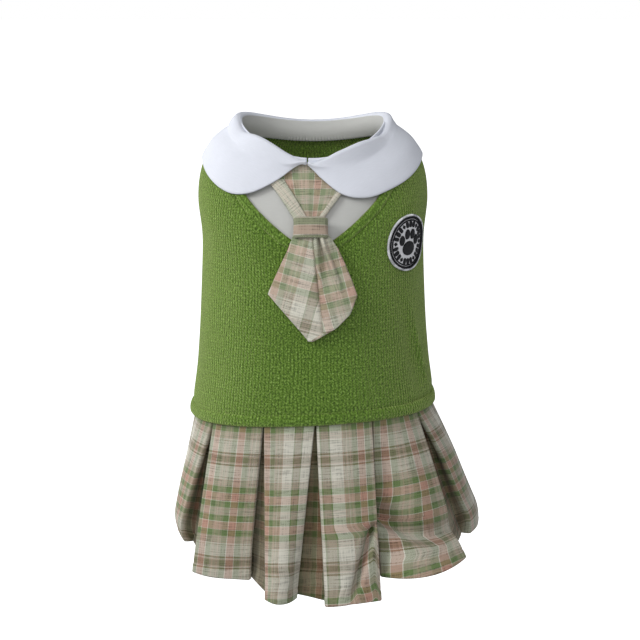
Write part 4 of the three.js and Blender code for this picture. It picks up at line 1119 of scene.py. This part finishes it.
def make_skirt():
    share = np.concatenate([[-1, -0.5], np.linspace(0, 0.92, 56), np.linspace(0.93, 1, 12)])
    whole = PLEAT_COUNT * (PLEAT_PANEL_CLOTH + PLEAT_HIDDEN_CLOTH)
    line = cut_corners(pleat_line(share), whole)
    points = line[..., :3]
    flutter = 0.5 * MM * np.clip(share, 0, 1)[:, None] ** 2
    points[..., 2] += flutter * np.sin(line[..., 3] / (9 * MM))
    run = run_along(points)
    from_waist = run - run[np.searchsorted(share, 0)]
    from_hem = run[-1] - run
    u = np.concatenate([line[..., 3], line[:, :1, 3] + whole], axis=1) + SKIRT_SETT_START
    v = -wrapped(from_waist)
    stitched = bell((from_hem - SKIRT_HEM_FOLD) / (0.8 * MM))
    folded = 1 / (1 + np.exp((from_hem - SKIRT_HEM_FOLD) / (0.3 * MM)))
    thickness = SKIRT_CLOTH * (0.85 + 0.5 * folded - 0.5 * stitched)
    shell = cloth_shell(points, np.stack([u, v], axis=-1), thickness, True)
    return piece_from_shells("pleated_skirt", [shell], PLAID_SKIRT, ["skirt"])


# Heights of the knot and offsets of the cloth that runs into it
KNOT_TOP = -0.685 * V_NECK_DEPTH
KNOT_BOTTOM = KNOT_TOP - TIE_KNOT_HEIGHT
PANEL_OFFSET = UNDER_KNIT + LAYER_GAP
STRAP_OFFSET = PANEL_OFFSET + TIE_CLOTH + LAYER_GAP
RISE_TO_KNOT = OVER_BANDS - LAYER_GAP - TIE_CLOTH - STRAP_OFFSET


def point_across(across, height, offset):
    """Points that lie a distance across from the middle of the front, at a height and an offset."""
    angle = angle_across(across, height, offset)
    return garment_point(angle, level_at_height(angle, height), offset)


def turned_uv(across, height, turn, shift):
    """Places in a cloth that was cut at a turn."""
    turned = np.array([[math.cos(turn), math.sin(turn)], [-math.sin(turn), math.cos(turn)]])
    return np.stack(np.broadcast_arrays(across, height), axis=-1) @ turned + shift


def tie_strip(strip, columns, rows, start_offset, gathers, puff, uv_turn, uv_shift):
    """Cloth of the upper part of the tie, which lies on the shirt front and runs down to the knot."""
    down = np.linspace(0, 1, rows)[:, None]
    side = np.linspace(0, 1, columns)
    height = KNOT_TOP + TIE_KNOT_HEIGHT * mix(strip["top"], strip["bottom"], down)
    left = mix(strip["top_left"], strip["bottom_left"], down)
    right = mix(strip["top_right"], strip["bottom_right"], down)
    across = TIE_SHIFT + TIE_KNOT_WIDTH * mix(left, right, side)
    relief = gathers * np.sin(FULL_TURN * 2.5 * side + 0.6) * down + puff * np.sin(math.pi * side)
    offset = start_offset + RISE_TO_KNOT * down + TIE_CLOTH / 2 + relief
    points = point_across(across, height, offset)
    spread = mix(strip["top_left"], strip["top_right"], side) * TIE_KNOT_WIDTH
    drawn_in = mix(spread, across, 0.55)
    uv = turned_uv(drawn_in, height, uv_turn, uv_shift)
    return cloth_shell(points, uv, TIE_CLOTH * 0.9, False)


def make_tie_top():
    panel = tie_strip(TIE_PANEL, 80, 50, PANEL_OFFSET, gathers=0.5 * MM, puff=0, uv_turn=0,
                      uv_shift=(5.3 * MM, 33.3 * MM))
    piece_from_shells("tie_fan", [panel], PLAID_TIE, ["tie_panel"])
    left = tie_strip(TIE_STRAPS["left"], 24, 40, STRAP_OFFSET, gathers=0, puff=0.6 * MM,
                     uv_turn=-30 * DEGREE, uv_shift=(0.032, 0.03))
    piece_from_shells("tie_fold_left", [left], PLAID_FOLD, ["tie_strap_left"])
    right = tie_strip(TIE_STRAPS["right"], 16, 40, STRAP_OFFSET, gathers=0, puff=0.7 * MM,
                      uv_turn=30 * DEGREE, uv_shift=(0.036, 0.032))
    piece_from_shells("tie_fold_right", [right], PLAID_FOLD, ["tie_strap_right"])


def make_tie_knot():
    sides, rows = 72, 40
    down = np.linspace(0, 1, rows)
    size = smooth(KNOT_SECTIONS["size"], position_of(KNOT_SECTIONS["down"], down))[:, None]
    turn = full_turn(sides)

    def squared(value):
        return np.sign(value) * np.abs(value) ** KNOT_SQUARENESS

    pleats = 1 + 0.02 * np.sin(9 * turn + 1.2) * np.sin(math.pi * down[:, None])
    across = TIE_SHIFT + TIE_KNOT_WIDTH / 2 * size * squared(np.cos(turn)) * pleats
    middle = OVER_BANDS + TIE_KNOT_DEPTH / 2
    offset = middle + TIE_KNOT_DEPTH / 2 * size * squared(np.sin(turn)) * pleats
    height = mix(KNOT_TOP, KNOT_BOTTOM, down)[:, None] + 0 * across
    angle = angle_across(across, height, middle)
    points = garment_point(angle, level_at_height(angle, height), offset)
    v = np.append(np.arange(sides), sides) / sides * math.pi * (TIE_KNOT_WIDTH + TIE_KNOT_DEPTH) / 2
    uv = np.stack(np.broadcast_arrays(v - 1 * MM, (1 - down)[:, None] * TIE_KNOT_HEIGHT + 5.6 * MM), axis=-1)
    shell = cloth_shell(points[:, ::-1], uv[:, ::-1], TIE_CLOTH, True)
    return piece_from_shells("tie_band", [shell], PLAID_BAND, ["tie_knot"])


def tail_relief(across, down):
    """How far the folds of the tail stand out at a place across it, in metres, and down it."""
    out = np.zeros(np.broadcast(across, down).shape)
    for top, end, down_end, wide_top, wide_end, lift in zip(*TAIL_FOLDS.values()):
        run = down / down_end
        line = TIE_TAIL_WIDTH * mix(top, end, run)
        wide = mix(wide_top, wide_end, np.minimum(run, 1.2))
        out += lift * bell((across - line) / wide) * np.clip(1.25 - run, 0, 1) ** 0.5
    return out


def tail_patch(from_share, to_share, columns, uv_turn, uv_shift):
    """One half of the tail, from one share of the way across to another."""
    rows = 110
    last_row = len(TAIL_ROWS["down"]) - 1
    row = np.linspace(0, last_row, rows)[:, None]
    straight = {name: np.interp(row, np.arange(last_row + 1), values) for name, values in TAIL_ROWS.items()}
    curved = {name: smooth(values, row) for name, values in TAIL_ROWS.items()}
    middle = {name: values[0] for name, values in TAIL_FOLDS.items()}
    run = straight["down"] / middle["down_end"]
    fold = TIE_TAIL_WIDTH * mix(middle["top_across"], middle["end_across"], run)
    edges = [straight["left"] * TIE_TAIL_WIDTH, straight["right"] * TIE_TAIL_WIDTH]
    fold = np.clip(fold, edges[0] + 0.3 * MM, edges[1] - 0.3 * MM)
    ends = {0: edges[0], 0.5: fold, 1: edges[1]}
    across = mix(ends[from_share], ends[to_share], np.linspace(0, 1, columns))
    place = np.where(across < fold, (across - fold) / (fold - edges[0]), (across - fold) / (edges[1] - fold))
    sideways = np.abs(place)
    flat = mix(curved["off_middle"], np.where(place < 0, curved["off_left"], curved["off_right"]), sideways)
    swell = TAIL_SWELL * sideways * (1 - sideways)
    stand = TIE_TAIL_WIDTH * (flat + swell) + tail_relief(across, straight["down"])
    offset = OVER_BANDS + TIE_TAIL_THICKNESS / 2 + np.maximum(stand, 0)
    into_knot = 2 * MM
    height = KNOT_BOTTOM + into_knot - (TIE_TAIL_LENGTH + into_knot) * straight["down"] + 0 * across
    points = point_across(TIE_SHIFT + across, height, offset)
    uv = turned_uv(across, height - KNOT_BOTTOM, uv_turn, uv_shift)
    return cloth_shell(points, uv, TIE_TAIL_THICKNESS * 0.8, False)


def make_tie_tail():
    left = tail_patch(0, 0.5, 60, 15 * DEGREE, (23.5 * MM, 18.5 * MM))
    right = tail_patch(0.5, 1, 90, -15 * DEGREE, (-7 * MM, 28.3 * MM))
    return piece_from_shells("tie_end", [left, right], PLAID_TIE, ["tie_tail"])


def badge_point(across, up, offset):
    """Points of the badge, by their place across and up from its middle."""
    step = 0.01
    pair = np.array([BADGE_ANGLE, BADGE_ANGLE + step])
    low, high = face_point(pair, level_at_height(pair, -BADGE_DROP)) * (1, 1, 0)
    angle = BADGE_ANGLE + across / (np.linalg.norm(high - low) / step)
    return garment_point(angle, level_at_height(angle, up - BADGE_DROP), offset)


def badge_disc(outline_across, outline_up, middle, low, profile):
    """A domed raised patch. profile is rows of (share of the way to the outline, height over low)."""
    share, rise = np.array(profile).T[:, :, None]
    across = mix(middle[0], outline_across, share)
    up = mix(middle[1], outline_up, share)
    points = badge_point(across, up, low + rise + 0 * across)
    count = points.shape[1]
    index = np.arange(points.shape[0] * count).reshape(points.shape[:2])
    index = wrapped(index)
    faces = squares(index)
    places = np.stack([across, up], axis=-1).reshape(-1, 2)
    return points.reshape(-1, 3), faces, places[faces]


def dome(height, edge_share=0.86, rows=6):
    """The profile of a domed patch, from its middle underneath round its edge to its middle on top."""
    under = [(share, 0) for share in (0.001, 0.5, 0.9)]
    over = [(mix(1, edge_share, 1 - math.cos(turn)), height * 0.8 * math.sin(turn))
            for turn in np.linspace(0, math.pi / 2, rows)]
    top = [(edge_share * share, height * (1 - 0.2 * share**2)) for share in (0.66, 0.33, 0.001)]
    return under + over + top


def ellipse(middle, wide, tall, sides):
    turn = full_turn(sides)
    return middle[0] + wide * np.cos(turn), middle[1] + tall * np.sin(turn)


def badge_ring(name, middle, half_width, low, half_height, bumps, bump_share, material, nodes):
    """A rounded ring of thread on the badge. middle and half_width are shares of its radius."""
    radius = BADGE_DIAMETER / 2
    columns, rows = 4 * max(bumps, 40), 16
    turn = full_turn(columns)
    bend = full_turn(rows)[:, None]
    ridge = 1 + bump_share * (np.abs(np.sin(turn * bumps / 2)) - 0.5)
    away = radius * (middle + half_width * np.cos(bend) * ridge)
    rise = low + half_height * (1 + np.sin(bend) * ridge)
    points = badge_point(away * np.cos(turn), away * np.sin(turn), rise)
    index = np.arange(rows * columns).reshape(rows, columns)
    index = wrapped(index)
    index = np.concatenate([index, index[:1]], axis=0)
    along = np.append(turn, FULL_TURN) * radius
    around = np.append(bend, FULL_TURN)[:, None] * half_width * radius
    places = np.stack(np.broadcast_arrays(along, around), axis=-1).reshape(-1, 2)
    place_index = np.arange(len(places)).reshape(rows + 1, columns + 1)
    ring = points.reshape(-1, 3), squares(index)[:, ::-1], places[squares(place_index)[:, ::-1]]
    return piece_from_shells(name, [ring], material, nodes)


def make_badge():
    radius = BADGE_DIAMETER / 2
    top = BADGE_GAP + BADGE_THICKNESS
    border = BADGE_THICKNESS + BADGE_BORDER_PROUD
    field_share = 0.93
    outline = ellipse((0, 0), field_share * radius, field_share * radius, 128)
    field = badge_disc(*outline, (0, 0), BADGE_GAP, dome(BADGE_THICKNESS, 0.97))
    piece_from_shells("badge_field", [field], WHITE_THREAD, ["badge_patch"])
    badge_ring("badge_edge", middle=0.965, half_width=0.036, low=BADGE_GAP, half_height=border / 2,
               bumps=150, bump_share=0.5, material=GREY_THREAD, nodes=[])
    badge_ring("badge_rim", middle=0.895, half_width=0.046, low=BADGE_GAP,
               half_height=border / 2 + 0.05 * MM, bumps=220, bump_share=0.25, material=BLACK_THREAD,
               nodes=["badge_border"])
    badge_ring("badge_inner_ring", middle=0.8, half_width=0.024, low=top - 0.3 * MM,
               half_height=0.35 * MM, bumps=200, bump_share=0.3, material=BLACK_THREAD,
               nodes=[])

    low = top - 0.1 * MM
    marks = []
    count, ring = 24, 0.665
    corner = full_turn(24)
    for k in range(count):
        turn = k / count * FULL_TURN
        diamond = k % 4 == 0
        power = 1 if diamond else 3.5
        spread = (np.abs(np.cos(corner)) ** power + np.abs(np.sin(corner)) ** power) ** (-1 / power)
        long, short = (0.085, 0.075) if diamond else (0.112, 0.066 if k % 2 else 0.076)
        out = long * radius * spread * np.cos(corner)
        side = short * radius * spread * np.sin(corner)
        centre = ring * radius * math.cos(turn), ring * radius * math.sin(turn)
        across = centre[0] + out * math.cos(turn) - side * math.sin(turn)
        up = centre[1] + out * math.sin(turn) + side * math.cos(turn)
        marks.append(badge_disc(across, up, centre, low, dome(0.55 * MM)))
    piece_from_shells("badge_marks", marks, BLACK_THREAD, [])

    for name, pad in PAW_PADS.items():
        middle = pad["across"] * radius, pad["up"] * radius
        outline = ellipse(middle, pad["wide"] * radius, pad["tall"] * radius, 40)
        disc = badge_disc(*outline, middle, low, dome(LAYER_GAP + BADGE_RELIEF))
        piece_from_shells(name.replace("badge_", "thread_"), [disc], BLACK_THREAD, [name])


def make_camera():
    """The camera at the photograph's viewing angle."""
    distance = 1.3
    aim = np.array([4.7, 0, -120]) * MM
    elevation = 10 * DEGREE
    data = bpy.data.cameras.new("camera")
    data.sensor_width = 36
    data.lens = 109.6
    camera = bpy.data.objects.new("camera", data)
    bpy.context.scene.collection.objects.link(camera)
    camera.location = aim + distance * np.array([0, -math.cos(elevation), math.sin(elevation)])
    camera.rotation_euler = (math.pi / 2 - elevation, 0, 0)
    bpy.context.scene.camera = camera


def add_light(name, place, aim, size, power):
    data = bpy.data.lights.new(name, "AREA")
    data.size = size
    data.energy = power
    light = bpy.data.objects.new(name, data)
    bpy.context.scene.collection.objects.link(light)
    light.location = place
    toward = unit(np.array(aim) - np.array(place))
    light.rotation_euler = (math.acos(-toward[2]), 0, math.atan2(toward[0], -toward[1]) + math.pi)
    return light


def make_studio():
    """A pale floor well below the dress, pale surroundings and soft light from the left."""
    scene = bpy.context.scene
    scene.view_settings.view_transform = "Standard"
    half_size = 40
    drop = 0.8
    corners = [(x * half_size, y * half_size, 0) for x, y in ((-1, -1), (1, -1), (1, 1), (-1, 1))]
    mesh = bpy.data.meshes.new("floor")
    mesh.from_pydata(corners, [], [(0, 1, 2, 3)])
    floor = bpy.data.objects.new("floor", mesh)
    scene.collection.objects.link(floor)
    floor.location = (0, 0, -drop)
    floor.visible_diffuse = False
    material = bpy.data.materials.new("floor")
    material.use_nodes = True
    shader = material.node_tree.nodes["Principled BSDF"]
    shader.inputs["Base Color"].default_value = (0.9, 0.9, 0.9, 1)
    shader.inputs["Emission Color"].default_value = (1, 1, 1, 1)
    shader.inputs["Emission Strength"].default_value = 1
    mesh.materials.append(material)

    world = bpy.data.worlds.new("studio")
    world.use_nodes = True
    scene.world = world
    tree = world.node_tree
    seen = tree.nodes.new("ShaderNodeBackground")
    seen.inputs["Strength"].default_value = 1
    seen.inputs["Color"].default_value = (1, 1, 1, 1)
    ambient = tree.nodes["Background"]
    ambient.inputs["Color"].default_value = (0.95, 0.97, 1, 1)
    ambient.inputs["Strength"].default_value = 0.37
    path = tree.nodes.new("ShaderNodeLightPath")
    both = tree.nodes.new("ShaderNodeMixShader")
    tree.links.new(path.outputs["Is Camera Ray"], both.inputs[0])
    tree.links.new(ambient.outputs[0], both.inputs[1])
    tree.links.new(seen.outputs[0], both.inputs[2])
    tree.links.new(both.outputs[0], tree.nodes["World Output"].inputs["Surface"])

    aim = (0, 0, -0.12)
    add_light("key", (-0.95, -0.8, 0.65), aim, size=0.6, power=9.9)
    add_light("front", (0.1, -1.9, 0.7), aim, size=1.2, power=13)
    add_light("left_rim", (-1.3, 0.6, 0.2), aim, size=0.8, power=13)


make_bodice()
make_hem_band()
make_v_band()
make_leg_band(-1, "leg_rib_left", "leg_band_left")
make_leg_band(1, "leg_rib_right", "leg_band_right")
make_shirt_front()
make_neck_band()
make_collar()
make_skirt()
make_tie_top()
make_tie_knot()
make_tie_tail()
make_badge()
make_camera()
make_studio()
